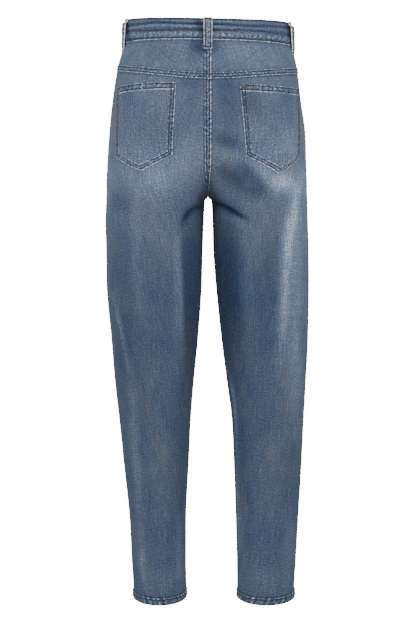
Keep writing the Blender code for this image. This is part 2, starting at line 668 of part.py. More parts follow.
def button():
    """The shank button, turned about the band's own normal at the left end."""
    angle = by_centre_arc("left", -1, BUTTON_ARC, BUTTON_DROP)
    foot = to_frame("left", surface("left", angle, BUTTON_DROP, BAND_PROUD + SEAM_GAP))
    axis = section_normal("left", np.array(angle), np.array(BUTTON_DROP))
    axis = axis / np.linalg.norm(axis)
    side = np.cross(axis, (0.0, 0.0, 1.0))
    side /= np.linalg.norm(side)
    up = np.cross(side, axis)
    points = [foot]
    for radius, height in BUTTON_PROFILE:
        for k in range(BUTTON_SIDES):
            turn = 2 * math.pi * k / BUTTON_SIDES
            points.append(foot + axis * height + radius * (math.cos(turn) * side + math.sin(turn) * up))
    points.append(foot + axis * BUTTON_PROFILE[-1][1])
    faces = []
    for k in range(BUTTON_SIDES):
        after = (k + 1) % BUTTON_SIDES
        faces.append((0, 1 + after, 1 + k))
        for ring in range(len(BUTTON_PROFILE) - 1):
            low, high = 1 + ring * BUTTON_SIDES, 1 + (ring + 1) * BUTTON_SIDES
            faces.append((low + k, low + after, high + after, high + k))
        last = 1 + (len(BUTTON_PROFILE) - 1) * BUTTON_SIDES
        faces.append((last + k, last + after, len(points) - 1))
    return finished_object("button", np.array(points) * MM, faces, BRASS)


def main():
    """Builds every piece of the jeans."""
    for obj in list(bpy.data.objects):
        bpy.data.objects.remove(obj)
    for leg in ("left", "right"):
        back_panel(leg)
        front_panel(leg)
        yoke(leg)
        pocket_facing(leg)
        back_pocket(leg)
    waistband()
    for loop in LOOPS:
        belt_loop(*loop)
    fly()
    zip_tape()
    button()


main()
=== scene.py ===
"""Barrel jeans of washed mid-blue stretch denim, filled out with no wearer and seen from behind.

Each panel is a thin shell of denim on the form of its solid, with its creases, felled seams, puckers and
turned hems modelled, and every topstitch is its own small loop of thread. Points come from the same
tables of level sections as the solids. Lengths are in millimetres until a mesh is made, "drop" is the
depth below the waist, and an arc is measured along the cloth.
"""
import math
from collections import namedtuple
from functools import lru_cache

import bpy
import numpy as np
from bpy.props import FloatProperty, FloatVectorProperty, PointerProperty
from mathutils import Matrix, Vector


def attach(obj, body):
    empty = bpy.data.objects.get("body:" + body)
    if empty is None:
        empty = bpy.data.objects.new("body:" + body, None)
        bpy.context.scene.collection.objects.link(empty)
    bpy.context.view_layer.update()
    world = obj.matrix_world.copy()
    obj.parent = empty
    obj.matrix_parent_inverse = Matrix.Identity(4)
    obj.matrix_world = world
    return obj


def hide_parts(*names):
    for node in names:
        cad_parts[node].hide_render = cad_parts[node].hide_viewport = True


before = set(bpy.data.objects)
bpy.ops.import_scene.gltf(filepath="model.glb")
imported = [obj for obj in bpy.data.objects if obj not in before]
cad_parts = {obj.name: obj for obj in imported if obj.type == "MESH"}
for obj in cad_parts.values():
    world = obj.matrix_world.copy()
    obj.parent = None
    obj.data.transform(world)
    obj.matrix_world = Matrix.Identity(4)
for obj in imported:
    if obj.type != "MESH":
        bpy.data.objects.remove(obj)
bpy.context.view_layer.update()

bl_info = {
    "name": "Barrel Jeans",
    "version": (1, 0, 0),
    "blender": (4, 5, 0),
    "location": "View3D > Sidebar > Jeans",
    "description": "Dresses a pair of barrel jeans with denim, seams and topstitching",
    "category": "Object",
}

MM = 0.001
DETAIL = 1.0

# Cloth and seams, as in the solids
CLOTH = 1.5
SEAM_GAP = 0.3
HALF_GAP = SEAM_GAP / 2
LAY_GAP = 0.45
FELL_RAISE = 0.9
FELL_WIDTH = 4.6
STEP_WIDTH = 1.0
WAISTBAND_TOP = -1.0
WAISTBAND_TOP_DIP = 4.0
WAISTBAND_SEAM = 40.0
YOKE_SEAM = 85.5
YOKE_SLANT = 11.5
YOKE_SLANT_END = 215.0
YOKE_FELL_HEIGHT = 9.5
CROTCH = 298.0
HEM = 981.0
HEM_SLANT_START = 880.0
HEM_BACK_DIP = 12.0
HEM_FRONT_RISE = 9.0
HEM_HEIGHT = 11.0
WAIST_TILT = 0.02
WAIST_TILT_END = 260.0
BAND_PROUD = 0.9
BAND_THICK = 2.8
BAND_UNDERLAP = 35.0
BAND_OVERLAP = 4.0
BAND_STEP_START = 6.0
BAND_STEP_END = 34.0

# Stitch rows, by their distance in from the sewn edge that each follows
FELL_ROW = 1.6
YOKE_LOW_ROW = 1.7
YOKE_TOP_ROW = 2.0
MOUTH_ROWS = (2.0, 8.5)
POCKET_ROW = 2.3
POCKET_INNER_ROW = 7.0
POCKET_HEM_ROW = 1.4
BAND_TOP_ROW = 2.6
BAND_FOOT_ROW = 2.7
LOOP_ROW = 2.6
FLY_ROWS = (2.0, 7.0)

# Level sections of the filled-out cloth, as in the solids
SECTION_COLUMNS = ("drop", "left_out", "left_crown", "left_in", "right_out", "right_crown", "right_in",
                   "seam_y", "front_y", "back_y", "square")
SECTIONS = (
    (-14, 140.0, 0.0, -260.0, 141.0, 0.0, -260.0, 1.0, -99.0, 105.0, 2.20),
    (0, 141.5, 0.0, -260.0, 142.5, 0.0, -260.0, 1.0, -100.5, 107.0, 2.20),
    (36, 144.5, 9.0, -260.0, 145.5, 9.0, -260.0, 0.0, -105.0, 111.0, 2.22),
    (78, 155.0, 31.0, -260.0, 153.5, 30.0, -260.0, 0.0, -112.0, 122.0, 2.25),
    (130, 163.5, 52.0, -250.0, 159.5, 50.5, -250.0, -1.0, -117.0, 136.0, 2.28),
    (200, 170.5, 71.0, -150.0, 168.0, 70.0, -150.0, -2.0, -119.0, 145.0, 2.30),
    (250, 173.5, 80.0, -62.0, 169.0, 77.5, -62.0, -3.0, -116.0, 141.0, 2.28),
    (280, 174.5, 85.0, -15.0, 170.0, 82.5, -15.0, -3.0, -113.0, 134.0, 2.25),
    (292, 174.5, 86.7, -4.5, 170.0, 84.3, -4.5, -3.0, -112.0, 130.5, 2.23),
    (298, 174.5, 87.5, 0.0, 170.5, 85.2, 0.0, -3.0, -111.4, 128.5, 2.22),
    (304, 174.6, 88.2, 2.2, 170.6, 86.0, 2.6, -3.0, -110.8, 126.5, 2.21),
    (315, 175.0, 89.4, 4.6, 170.9, 87.4, 5.2, -3.0, -109.8, 122.5, 2.20),
    (338, 176.0, 91.2, 7.0, 171.5, 89.6, 7.6, -3.0, -108.0, 115.0, 2.20),
    (390, 174.5, 92.0, 9.5, 173.0, 91.0, 9.5, -4.0, -107.0, 105.5, 2.20),
    (441, 174.0, 92.4, 10.8, 173.5, 93.3, 13.2, -4.0, -105.0, 98.0, 2.20),
    (544, 165.5, 91.6, 17.7, 172.0, 97.8, 23.6, -4.0, -100.0, 88.0, 2.20),
    (613, 160.0, 92.3, 24.6, 168.5, 100.3, 32.2, -4.0, -94.0, 82.0, 2.20),
    (682, 152.0, 91.0, 30.0, 164.5, 102.7, 41.0, -2.0, -85.0, 77.0, 2.18),
    (750, 145.0, 89.1, 33.2, 161.0, 102.6, 44.2, 1.0, -75.0, 74.0, 2.15),
    (854, 134.0, 86.0, 38.0, 154.5, 101.1, 47.8, 5.0, -61.0, 70.0, 2.12),
    (922, 130.5, 84.3, 38.2, 150.5, 100.1, 49.6, 8.0, -54.0, 68.0, 2.10),
    (966, 127.8, 82.4, 37.0, 148.0, 99.0, 50.0, 10.0, -50.0, 68.0, 2.10),
    (981, 128.3, 82.4, 36.6, 148.6, 99.0, 49.4, 10.0, -49.5, 68.5, 2.10),
    (1010, 128.5, 82.4, 36.4, 148.8, 99.0, 49.2, 10.0, -49.5, 68.8, 2.10),
)
PARTING_COLUMNS = ("drop", "left", "right")
PARTING = (
    (298, 0.0, 0.0), (303, 3.4, 3.6), (315, 2.0, 2.0), (338, 0.5, 0.6), (390, 0.0, 0.0), (1010, 0.0, 0.0),
)
PARTING_START = 0.78
PARTING_FULL = 0.97
TURN_COLUMNS = ("drop", "left_side", "left_inseam", "right_side", "right_inseam")
SEAM_TURNS = (
    (300, 0.0, 0.0, 0.0, 0.0),
    (420, 5.0, -2.0, -2.0, 2.0),
    (640, 9.0, -4.0, -4.0, 9.0),
    (850, 10.0, -4.0, -4.0, 11.0),
    (1010, 8.0, -4.0, -4.0, 9.0),
)

# Bent lines on the cloth, through three points. Across is the distance from the centre plane, face is +1 at
# the back and -1 at the front, and sharp is how square the line's edge is.
Bend = namedtuple("Bend", ("leg", "face", "across_a", "drop_a", "across_b", "drop_b", "across_c", "drop_c",
                           "amount", "width", "sharp"), defaults=(2.0,))

# Points of a bend, its reach in widths, and how it fades at its ends and off its face
BEND_SAMPLES = 25
BEND_REACH = 3.0
BEND_END = 0.04
BEND_FADE = 0.6
BEND_TURN = 0.35

# Folds, whose amount is their height and is below zero in a trough. The large ones are in the solids too,
# where the three by the left inner thigh and the one under the right seat lie up to 26 mm from here and
# are up to 0.9 mm deeper.
LARGE_FOLDS = (
    ("right", 1, 6, 305, 28, 323, 66, 342, -4.6, 7.5),
    ("right", 1, 20, 268, 62, 300, 100, 292, -3.0, 17),
    ("right", 1, 150, 272, 134, 400, 118, 640, 3.0, 16),
    ("right", 1, 104, 330, 100, 450, 92, 590, -2.6, 20),
    ("left", 1, 6, 310, 30, 326, 42, 352, -4.4, 8),
    ("left", 1, 36, 350, 32, 500, 26, 630, -3.0, 11),
    ("left", 1, 54, 350, 50, 500, 50, 640, 2.4, 12),
    ("left", 1, 128, 300, 132, 420, 122, 600, -2.2, 18),
    ("left", 1, 168, 292, 150, 318, 128, 330, -2.4, 11),
    ("left", -1, 10, 290, 62, 262, 118, 236, -3.6, 12),
    ("left", -1, 8, 304, 58, 300, 112, 280, -3.0, 12),
    ("left", -1, 84, 590, 108, 610, 140, 602, -2.6, 14),
    ("right", -1, 10, 288, 60, 266, 112, 242, -3.6, 12),
    ("right", -1, 8, 305, 56, 304, 108, 288, -3.0, 12),
    ("right", -1, 92, 604, 118, 618, 148, 606, -2.6, 14),
)
FINE_FOLDS = (
    ("right", 1, 6, 309, 28, 323, 68, 343, -2.4, 3.4),
    ("right", 1, 14, 330, 40, 342, 66, 364, 1.2, 6.0),
    ("right", 1, 36, 246, 74, 268, 96, 300, -1.6, 9.0),
    ("right", 1, 60, 238, 92, 258, 118, 290, 1.2, 9.0),
    ("right", 1, 156, 286, 138, 330, 131, 420, 2.2, 5.5),
    ("right", 1, 131, 400, 129, 500, 118, 640, 1.4, 6.5),
    ("right", 1, 116, 330, 118, 430, 110, 560, -1.3, 7.0),
    ("right", 1, 74, 360, 70, 450, 66, 560, 0.9, 9.0),
    ("right", 1, 46, 350, 44, 450, 52, 560, -0.9, 8.0),
    ("right", 1, 33, 590, 50, 640, 49, 742, 1.5, 3.2),
    ("right", 1, 49, 720, 51, 820, 53, 920, 1.1, 4.0),
    ("right", 1, 66, 790, 68, 880, 66, 960, -0.8, 7.0),
    ("right", 1, 136, 800, 132, 880, 130, 960, 0.9, 8.0),
    ("right", 1, 18, 206, 34, 214, 52, 218, -1.0, 9.0),
    ("left", 1, 9, 316, 31, 327, 42, 350, -2.2, 3.6),
    ("left", 1, 40, 342, 38, 440, 32, 600, -1.6, 4.0),
    ("left", 1, 48, 360, 46, 440, 42, 560, 1.4, 5.0),
    ("left", 1, 160, 466, 144, 540, 131, 600, 1.5, 3.4),
    ("left", 1, 131, 590, 124, 730, 114, 900, 1.2, 6.0),
    ("left", 1, 112, 620, 106, 760, 101, 900, -1.0, 8.0),
    ("left", 1, 123, 292, 124, 380, 120, 520, 1.2, 7.0),
    ("left", 1, 100, 310, 102, 420, 98, 540, -0.9, 8.0),
    ("left", 1, 112, 880, 111, 920, 110, 962, 1.0, 5.0),
    ("left", 1, 48, 840, 49, 900, 48, 962, 1.0, 5.0),
    ("left", 1, 66, 250, 92, 272, 130, 262, -0.9, 10.0),
    ("left", 1, 166, 316, 158, 322, 150, 320, -1.6, 5.0),
    ("left", -1, 6, 298, 40, 290, 84, 262, -1.4, 5.0),
    ("left", -1, 14, 316, 44, 330, 70, 360, -1.3, 6.0),
    ("left", -1, 150, 250, 130, 330, 126, 440, 1.2, 8.0),
    ("left", -1, 62, 570, 92, 586, 124, 578, 1.0, 8.0),
    ("left", -1, 60, 622, 92, 640, 128, 634, -1.0, 8.0),
    ("left", -1, 52, 880, 56, 920, 54, 962, 0.9, 6.0),
    ("right", -1, 6, 296, 38, 290, 80, 266, -1.4, 5.0),
    ("right", -1, 14, 318, 46, 334, 74, 366, -1.3, 6.0),
    ("right", -1, 152, 260, 134, 340, 130, 450, 1.2, 8.0),
    ("right", -1, 68, 586, 98, 600, 132, 590, 1.0, 8.0),
    ("right", -1, 70, 636, 100, 652, 138, 642, -1.0, 8.0),
    ("right", -1, 130, 880, 128, 920, 126, 962, 0.9, 6.0),
)

# Wash and painted light: places that the wash has faded, with an amount above zero, or left dark, and painted
# shade in the creases and between the thighs with painted highlight along the fold ridges
WASH_AND_SHADING = (
    ("left", 1, 20, 340, 17, 470, 8, 630, -0.10, 21, 6),
    ("left", 1, 9, 316, 31, 327, 42, 349, -0.26, 3.2, 2),
    ("left", 1, 124, 290, 124, 390, 118, 520, 0.14, 12, 2),
    ("left", 1, 51, 360, 49, 440, 45, 560, 0.16, 9, 2),
    ("left", 1, 40, 268, 80, 276, 125, 268, 0.10, 30, 2),
    ("left", 1, 162, 464, 146, 530, 133, 600, 0.30, 3.2, 2),
    ("left", 1, 131, 590, 124, 730, 114, 915, 0.17, 9, 2),
    ("left", 1, 49, 840, 49, 900, 48, 965, 0.14, 7, 2),
    ("left", 1, 112, 890, 112, 920, 111, 960, 0.16, 7, 2),
    ("left", 1, 6, 42, 16, 52, 24, 64, -0.46, 15, 2),
    ("left", 1, 84, 160, 76, 190, 96, 215, -0.10, 30, 2),
    ("left", 1, 8, 110, 30, 150, 36, 190, -0.08, 16, 2),
    ("right", 1, 24, 326, 30, 430, 44, 600, -0.28, 24, 3),
    ("right", 1, 8, 309, 28, 322, 68, 343, -0.50, 2.8, 2),
    ("right", 1, 54, 290, 82, 300, 110, 300, -0.16, 13, 2),
    ("right", 1, 10, 204, 32, 214, 52, 220, -0.32, 13, 2),
    ("right", 1, 50, 246, 74, 268, 96, 296, -0.22, 11, 2),
    ("right", 1, 152, 284, 136, 330, 131, 420, 0.16, 9, 2),
    ("right", 1, 131, 345, 129, 450, 122, 580, 0.26, 8, 2),
    ("right", 1, 150, 290, 152, 430, 146, 700, 0.30, 20, 2),
    ("right", 1, 33, 590, 50, 640, 49, 742, 0.34, 2.8, 2),
    ("right", 1, 49, 720, 50, 810, 53, 900, 0.24, 3.4, 2),
    ("right", 1, 58, 800, 58, 880, 58, 960, 0.12, 8, 2),
    ("right", 1, 138, 830, 138, 890, 136, 950, 0.10, 9, 2),
    ("right", 1, 7, 42, 12, 52, 18, 62, -0.28, 11, 2),
    ("right", 1, 66, 122, 76, 144, 82, 176, -0.20, 15, 2),
    ("right", 1, 16, 250, 34, 262, 66, 288, -0.34, 15, 2),
    ("right", 1, 34, 98, 37, 145, 32, 195, -0.19, 24, 2),
    ("right", 1, 150, 500, 150, 600, 147, 720, 0.10, 15, 2),
    ("left", 1, 40, 60, 75, 62, 115, 66, -0.14, 18, 2),
    ("right", 1, 98, 270, 122, 290, 150, 272, 0.30, 19, 2),
    ("left", 1, 6, 110, 20, 118, 60, 112, -0.12, 9, 2),
    ("right", 1, 6, 112, 22, 120, 44, 114, -0.10, 8, 2),
    ("right", 1, 130, 180, 136, 210, 130, 240, 0.12, 22, 2),
    ("left", -1, 88, 240, 90, 400, 88, 560, 0.22, 34, 2),
    ("right", -1, 90, 240, 92, 400, 96, 560, 0.22, 34, 2),
    ("left", -1, 20, 320, 24, 420, 34, 560, -0.28, 18, 3),
    ("right", -1, 20, 320, 26, 420, 40, 560, -0.28, 18, 3),
)

# Wear of the plain cloth by drop, from 0, unwashed, to 1, faded to grey
BASE_WEAR_COLUMNS = ("drop", "wear")
BASE_WEAR = (
    (-14, 0.50), (36, 0.52), (46, 0.66), (90, 0.62), (150, 0.59), (210, 0.65), (265, 0.71), (320, 0.61),
    (420, 0.47), (560, 0.42), (760, 0.43), (930, 0.46), (966, 0.46), (972, 0.44), (1010, 0.42),
)
# How much a fold's height changes the colour: paler on its worn ridges, with painted shade in its troughs.
FOLD_WEAR_AND_SHADE = 0.030
WORN_WHITE = 1.25

# How far the blue of the cloth changes in broad patches, how pale each side of the centre seam's worn edge
# is, with a painted highlight making the right side paler, where round the waistband the loops' painted
# shades fall, and how far puckers reach beside a sewn band
CAST = 1.1
CENTRE_EDGE_WEAR_AND_HIGHLIGHT = {"left": 0.30, "right": 0.62}
LOOP_SHADES = (241.0, 415.0, 564.0)
ROPE_BESIDE = 0.4
ROPE_FADE = 5.0

# Back patch pocket, belt loops, pocket mouths, fly, zip and button, as in the solids
POCKET_CORNERS = {
    "left": {"top_inner": (53.0, 114.5), "top_outer": (181.0, 118.0), "low_inner": (60.5, 235.0),
             "tip": (117.0, 261.0), "low_outer": (172.5, 236.0)},
    "right": {"top_inner": (53.0, 116.0), "top_outer": (190.0, 115.5), "low_inner": (64.5, 236.0),
              "tip": (126.0, 265.0), "low_outer": (175.0, 236.5)},
}
POCKET_TOP_BOW = {"left": 1.1, "right": -1.1}
POCKET_HEM = 11.0
POCKET_HEM_RAISE = 0.6
LOOP_WIDTH = 14.0
LOOP_THICK = 1.8
LOOP_LEVEL = 8.0
LOOP_CURL = 2.6
LOOP_PROFILE_COLUMNS = ("drop", "stand_off")
LOOP_PROFILE = (
    (-2.0, 0.5), (3.0, 0.5), (7.5, 6.2), (16.5, 6.2), (27.0, 5.0), (37.5, 4.0), (46.5, 3.4),
    (50.5, 0.5), (56.0, 0.5),
)
# Columns: name, leg, face, arc from centre.
LOOPS = (
    ("belt_loop_back", "left", 1, 0.0),
    ("belt_loop_side_left", "left", 1, 168.0),
    ("belt_loop_side_right", "right", 1, 168.0),
    ("belt_loop_front_left", "left", -1, 84.0),
    ("belt_loop_front_right", "right", -1, 84.0),
)
MOUTH_ACROSS = 60.0
MOUTH_DROP = 84.0
FACING_THICK = 1.2
FACING_UNDERLAP = 1.14
FACING_SINK = CLOTH + LAY_GAP
FLY_LAP = 4.0
FLY_WIDTH = 36.0
FLY_STRAIGHT_END = 134.0
FLY_CURVE_DROP = 42.0
FLY_THICK = 1.0
ZIP_HALF_WIDTH = 11.0
ZIP_THICK = 1.0
ZIP_END = 166.0
ZIP_TEETH = 84
BUTTON_ARC = 10.0
BUTTON_DROP = 20.0
# Columns: radius, height.
BUTTON_PROFILE = (
    (0.0, 0.0), (3.2, 0.0), (3.1, 0.5), (3.1, 1.2), (5.5, 1.3), (7.6, 1.4), (8.2, 1.7), (8.5, 2.2),
    (8.4, 2.7), (8.0, 3.05), (7.4, 3.15), (6.9, 3.0), (6.6, 2.75), (6.2, 2.65), (5.2, 2.7),
    (3.6, 2.85), (2.6, 2.9), (2.2, 2.6), (1.2, 2.5), (0.0, 2.5),
)
BUTTON_TURNS = 56
BUTTON_RIM = (6.8, 8.45)
BUTTON_RIM_HEIGHT = 2.6
BEADS = 14
BEAD_RISE = 0.10

# Points of the panels
SECTION_SAMPLES = 241
NORMAL_STEP = 0.01
GROWTH_TOP = 205.0
GROWTH_FOOT = 360.0
GROWTH_POWER = 3.0
ROW_STEP = 3.5 / DETAIL
COLUMN_STEP = 2.9 / DETAIL
EDGE_ARCS = (0.0, 1.0, 1.9, 2.6, 3.2, 3.8, 4.3, 4.8, 5.4, 6.2, 7.4, 9.2)
BAND_ROWS = (0.0, 0.7, 1.5, 2.2, 2.9, 3.9, 5.1, 6.3, 7.1, 7.8, 8.5, 9.2, 9.8, 10.6, 12.0, 14.2)
HEM_ROWS = (-12.8, -12.0, -11.2, -10.6, -9.9, -9.2, -8.3, -7.0, -5.4, -3.8, -2.4, -1.3, -0.6, -0.2, 0.0)
EDGE_ROUND = 0.7
LEG_SIGN = {"left": 1.0, "right": -1.0}


def smoothstep(low, high, value):
    """0 below low, 1 above high and a smooth rise between."""
    t = np.clip((np.asarray(value, float) - low) / (high - low), 0.0, 1.0)
    return t * t * (3.0 - 2.0 * t)


def monotone_slopes(x, y):
    """Slopes at the points of a smooth curve that never overshoots its table."""
    step = np.diff(x)
    rise = np.diff(y) / step
    slope = np.zeros(len(x))
    slope[0], slope[-1] = rise[0], rise[-1]
    for i in range(1, len(x) - 1):
        if rise[i - 1] * rise[i] > 0:
            w1 = 2 * step[i] + step[i - 1]
            w2 = step[i] + 2 * step[i - 1]
            slope[i] = (w1 + w2) / (w1 / rise[i - 1] + w2 / rise[i])
    return slope


class Curve:
    """One named column of a table as a smooth function of the first column."""

    def __init__(self, columns, rows, name):
        self.x = np.array([row[0] for row in rows], float)
        self.y = np.array([row[columns.index(name)] for row in rows], float)
        self.slope = monotone_slopes(self.x, self.y)

    def __call__(self, value):
        value = np.clip(np.asarray(value, float), self.x[0], self.x[-1])
        i = np.clip(np.searchsorted(self.x, value, side="right") - 1, 0, len(self.x) - 2)
        step = self.x[i + 1] - self.x[i]
        t = (value - self.x[i]) / step
        h00 = (1 + 2 * t) * (1 - t) ** 2
        h10 = t * (1 - t) ** 2
        h01 = t * t * (3 - 2 * t)
        h11 = t * t * (t - 1)
        return (h00 * self.y[i] + h10 * step * self.slope[i]
                + h01 * self.y[i + 1] + h11 * step * self.slope[i + 1])


SECTION = {name: Curve(SECTION_COLUMNS, SECTIONS, name) for name in SECTION_COLUMNS[1:]}
PART = {name: Curve(PARTING_COLUMNS, PARTING, name) for name in PARTING_COLUMNS[1:]}
TURN = {name: Curve(TURN_COLUMNS, SEAM_TURNS, name) for name in TURN_COLUMNS[1:]}
PLAIN_WEAR = Curve(BASE_WEAR_COLUMNS, BASE_WEAR, "wear")
LOOP_STAND = Curve(LOOP_PROFILE_COLUMNS, LOOP_PROFILE, "stand_off")


def section_sizes(leg, drop):
    """Outer and inner reach, crown, seam depth, front, back and exponent of one leg at a drop."""
    return (SECTION[leg + "_out"](drop), SECTION[leg + "_in"](drop), SECTION[leg + "_crown"](drop),
            SECTION["seam_y"](drop), SECTION["front_y"](drop), SECTION["back_y"](drop),
            SECTION["square"](drop))


def section_point(leg, angle, drop):
    """Point of the plain surface. Angle is 0 at the side, 90 degrees at the back and -90 at the front."""
    outer, inner, crown, seam_y, front, back, square = section_sizes(leg, drop)
    c, s = np.cos(angle), np.sin(angle)
    power = 2.0 / square
    across = crown + np.where(c >= 0, outer - crown, crown - inner) * np.sign(c) * np.abs(c) ** power
    across = across + PART[leg](drop) * smoothstep(PARTING_START, PARTING_FULL, -c)
    depth = seam_y + np.where(s >= 0, back - seam_y, seam_y - front) * np.sign(s) * np.abs(s) ** power
    height = -np.asarray(drop, float) + 0.0 * across
    return np.stack([across, depth, height], axis=-1)


def section_normal(leg, angle, drop):
    """Outward normal of the plain surface."""
    along = (section_point(leg, angle + NORMAL_STEP, drop)
             - section_point(leg, angle - NORMAL_STEP, drop))
    down = section_point(leg, angle, drop + NORMAL_STEP) - section_point(leg, angle, drop - NORMAL_STEP)
    normal = np.cross(down, along)
    return normal / np.linalg.norm(normal, axis=-1, keepdims=True)


def bent_lines(rows):
    """The bends of a table, each with points along it, as across and drop."""
    t = np.linspace(0.0, 1.0, BEND_SAMPLES)[:, None]
    lines = []
    for bend in (Bend(*row) for row in rows):
        a, b, c = np.array(bend[2:8], float).reshape(3, 2)
        lines.append((bend, (1 - t) ** 2 * a + 2 * t * (1 - t) * b + t ** 2 * c))
    return lines


FOLD_LINES = bent_lines(LARGE_FOLDS + FINE_FOLDS)
WASH_AND_SHADING_LINES = bent_lines(WASH_AND_SHADING)
BEND_ALONG = np.linspace(0.0, 1.0, BEND_SAMPLES)


def along_lines(lines, leg, angle, point):
    """Sum of the bends' amounts at points of one leg, each fading at its ends and off its face."""
    facing = np.sin(angle)
    total = np.zeros(np.shape(point)[:-1])
    for bend, line in lines:
        if bend.leg != leg:
            continue
        reach = BEND_REACH * bend.width
        near = ((facing * bend.face > 0)
                & (point[..., 0] > line[:, 0].min() - reach) & (point[..., 0] < line[:, 0].max() + reach)
                & (-point[..., 2] > line[:, 1].min() - reach) & (-point[..., 2] < line[:, 1].max() + reach))
        if not near.any():
            continue
        spot = point[near]
        away = np.stack([spot[:, 0, None] - line[:, 0], -spot[:, 2, None] - line[:, 1]], axis=-1)
        far = np.linalg.norm(away, axis=-1)
        along = BEND_ALONG[far.argmin(axis=-1)]
        fade = np.sin(np.pi * np.clip(along, BEND_END, 1.0 - BEND_END)) ** BEND_FADE
        shape = np.exp(-(far.min(axis=-1) / bend.width) ** bend.sharp)
        total[near] += bend.amount * shape * fade * smoothstep(0.0, BEND_TURN, facing[near] * bend.face)
    return total


def fold_height(leg, angle, point):
    """How far the folds move the surface out, in millimetres."""
    return along_lines(FOLD_LINES, leg, angle, point)


def wash_and_shading(leg, angle, point):
    """How much the wash has faded the cloth or left it dark, with painted shade and highlight added."""
    return along_lines(WASH_AND_SHADING_LINES, leg, angle, point)


def to_frame(leg, points):
    """The left-hand frame's points placed on their own side, with the waist's slight tilt."""
    placed = np.array(points, float)
    placed[..., 0] *= LEG_SIGN[leg]
    fade = 1.0 - smoothstep(0.0, WAIST_TILT_END, -placed[..., 2])
    placed[..., 2] += WAIST_TILT * placed[..., 0] * fade
    return placed


def centre_angle(leg, drop, face):
    """Angle at which the section ends: at the centre plane, or at the inseam below the crotch."""
    outer, inner, crown, _, _, _, square = section_sizes(leg, drop)
    if crown > HALF_GAP:
        share = min(1.0, (crown - HALF_GAP) / max(crown - inner, 1e-6))
        end = math.acos(-share ** (square / 2))
    else:
        share = (HALF_GAP - crown) / (outer - crown)
        end = math.acos(share ** (square / 2))
    if drop > CROTCH:
        end -= face * math.radians(float(TURN[leg + "_inseam"](drop)))
    return end


class Row:
    """One line of cloth points across a panel, from the side seam to the centre seam or inseam."""

    def __init__(self, leg, face, level):
        self.leg, self.face, self.level = leg, face, level
        slant = 0.0
        if face > 0:
            slant = YOKE_SLANT * float(1.0 - smoothstep(YOKE_SEAM, YOKE_SLANT_END, level))
            slant *= float(smoothstep(WAISTBAND_SEAM, YOKE_SEAM, level))
        start = face * math.radians(float(TURN[leg + "_side"](level)))
        end = centre_angle(leg, level + slant, face)
        share = np.linspace(0.0, 1.0, SECTION_SAMPLES)
        self.angle = face * (start + share * (end - start))
        hem = float(smoothstep(HEM_SLANT_START, HEM, level))
        dip = HEM_BACK_DIP if face > 0 else HEM_FRONT_RISE
        self.drop = level + slant * (2 * share - 1) + hem * dip * np.sin(self.angle)
        points = section_point(leg, self.angle, self.drop)
        steps = np.linalg.norm(np.diff(points, axis=0), axis=1)
        self.arc = np.concatenate([[0.0], np.cumsum(steps)])
        self.length = self.arc[-1]

    def at(self, arc):
        """Angle and drop at arcs from the side seam."""
        return np.interp(arc, self.arc, self.angle), np.interp(arc, self.arc, self.drop)


@lru_cache(maxsize=None)
def row_near(leg, face, level):
    """A row kept for reuse."""
    return Row(leg, face, level)


def cached_row(leg, face, level):
    """The row nearest a level, to a quarter of a millimetre."""
    return row_near(leg, face, round(float(level) * 4) / 4)


@lru_cache(maxsize=None)
def even_lengths(leg, face):
    """Row lengths above and below the crotch, between which a row's even part changes steadily."""
    return Row(leg, face, GROWTH_TOP).length, Row(leg, face, GROWTH_FOOT).length


def pucker(along, seed):
    """Uneven waves along a seam, 6 to 14 mm long, from about -1 to 1."""
    swell = 0.65 + 0.35 * np.sin(2 * np.pi * along / 67.0 + 1.3 * seed)
    waves = (0.55 * np.sin(2 * np.pi * along / 9.1 + 1.7 * seed)
             + 0.35 * np.sin(2 * np.pi * along / 13.7 + 2.9 * seed)
             + 0.25 * np.sin(2 * np.pi * along / 6.1 + 0.8 * seed))
    return swell * waves


def line(distance, at, width):
    """A soft line at a distance from an edge."""
    return np.exp(-((distance - at) / width) ** 2)


def stitched_band(distance, width, along, seed, rows=(FELL_ROW,), bright=0.50, rumple=1.0):
    """Height, and wear and painted shade, of a turned edge: raised, puckered, pale on its edge, dark along
    its stitches and with a painted shadow beyond its edge.

    Distance is from the far side of the band, so that the band's own edge lies at its width. Rows are
    the stitch rows' distances in from that edge.
    """
    inside = 1.0 - smoothstep(width, width + STEP_WIDTH, distance)
    wave = pucker(along + 0.5 * distance, seed) * rumple
    beyond = np.exp(-np.maximum(distance - width, 0.0) / 6.0) * (1.0 - inside)
    height = inside * (FELL_RAISE + 0.30 * wave) + 0.28 * wave * beyond
    wear = inside * (0.02 + 0.30 * wave) + 0.14 * wave * beyond
    wear = wear + bright * (1.0 + 0.55 * wave) * line(distance, width - 0.1, 0.80)
    # Painted shadow: a dark line on the cloth just beyond the raised band's edge.
    wear = wear - 0.34 * line(distance, width + 1.7, 1.0)
    # Each stitch row is dark for the brown thread, with painted shade in its sunken groove.
    for at in rows:
        height = height - 0.30 * line(distance, width - at, 0.8)
        wear = wear - 0.80 * line(distance, width - at, 0.85)
    return height, wear


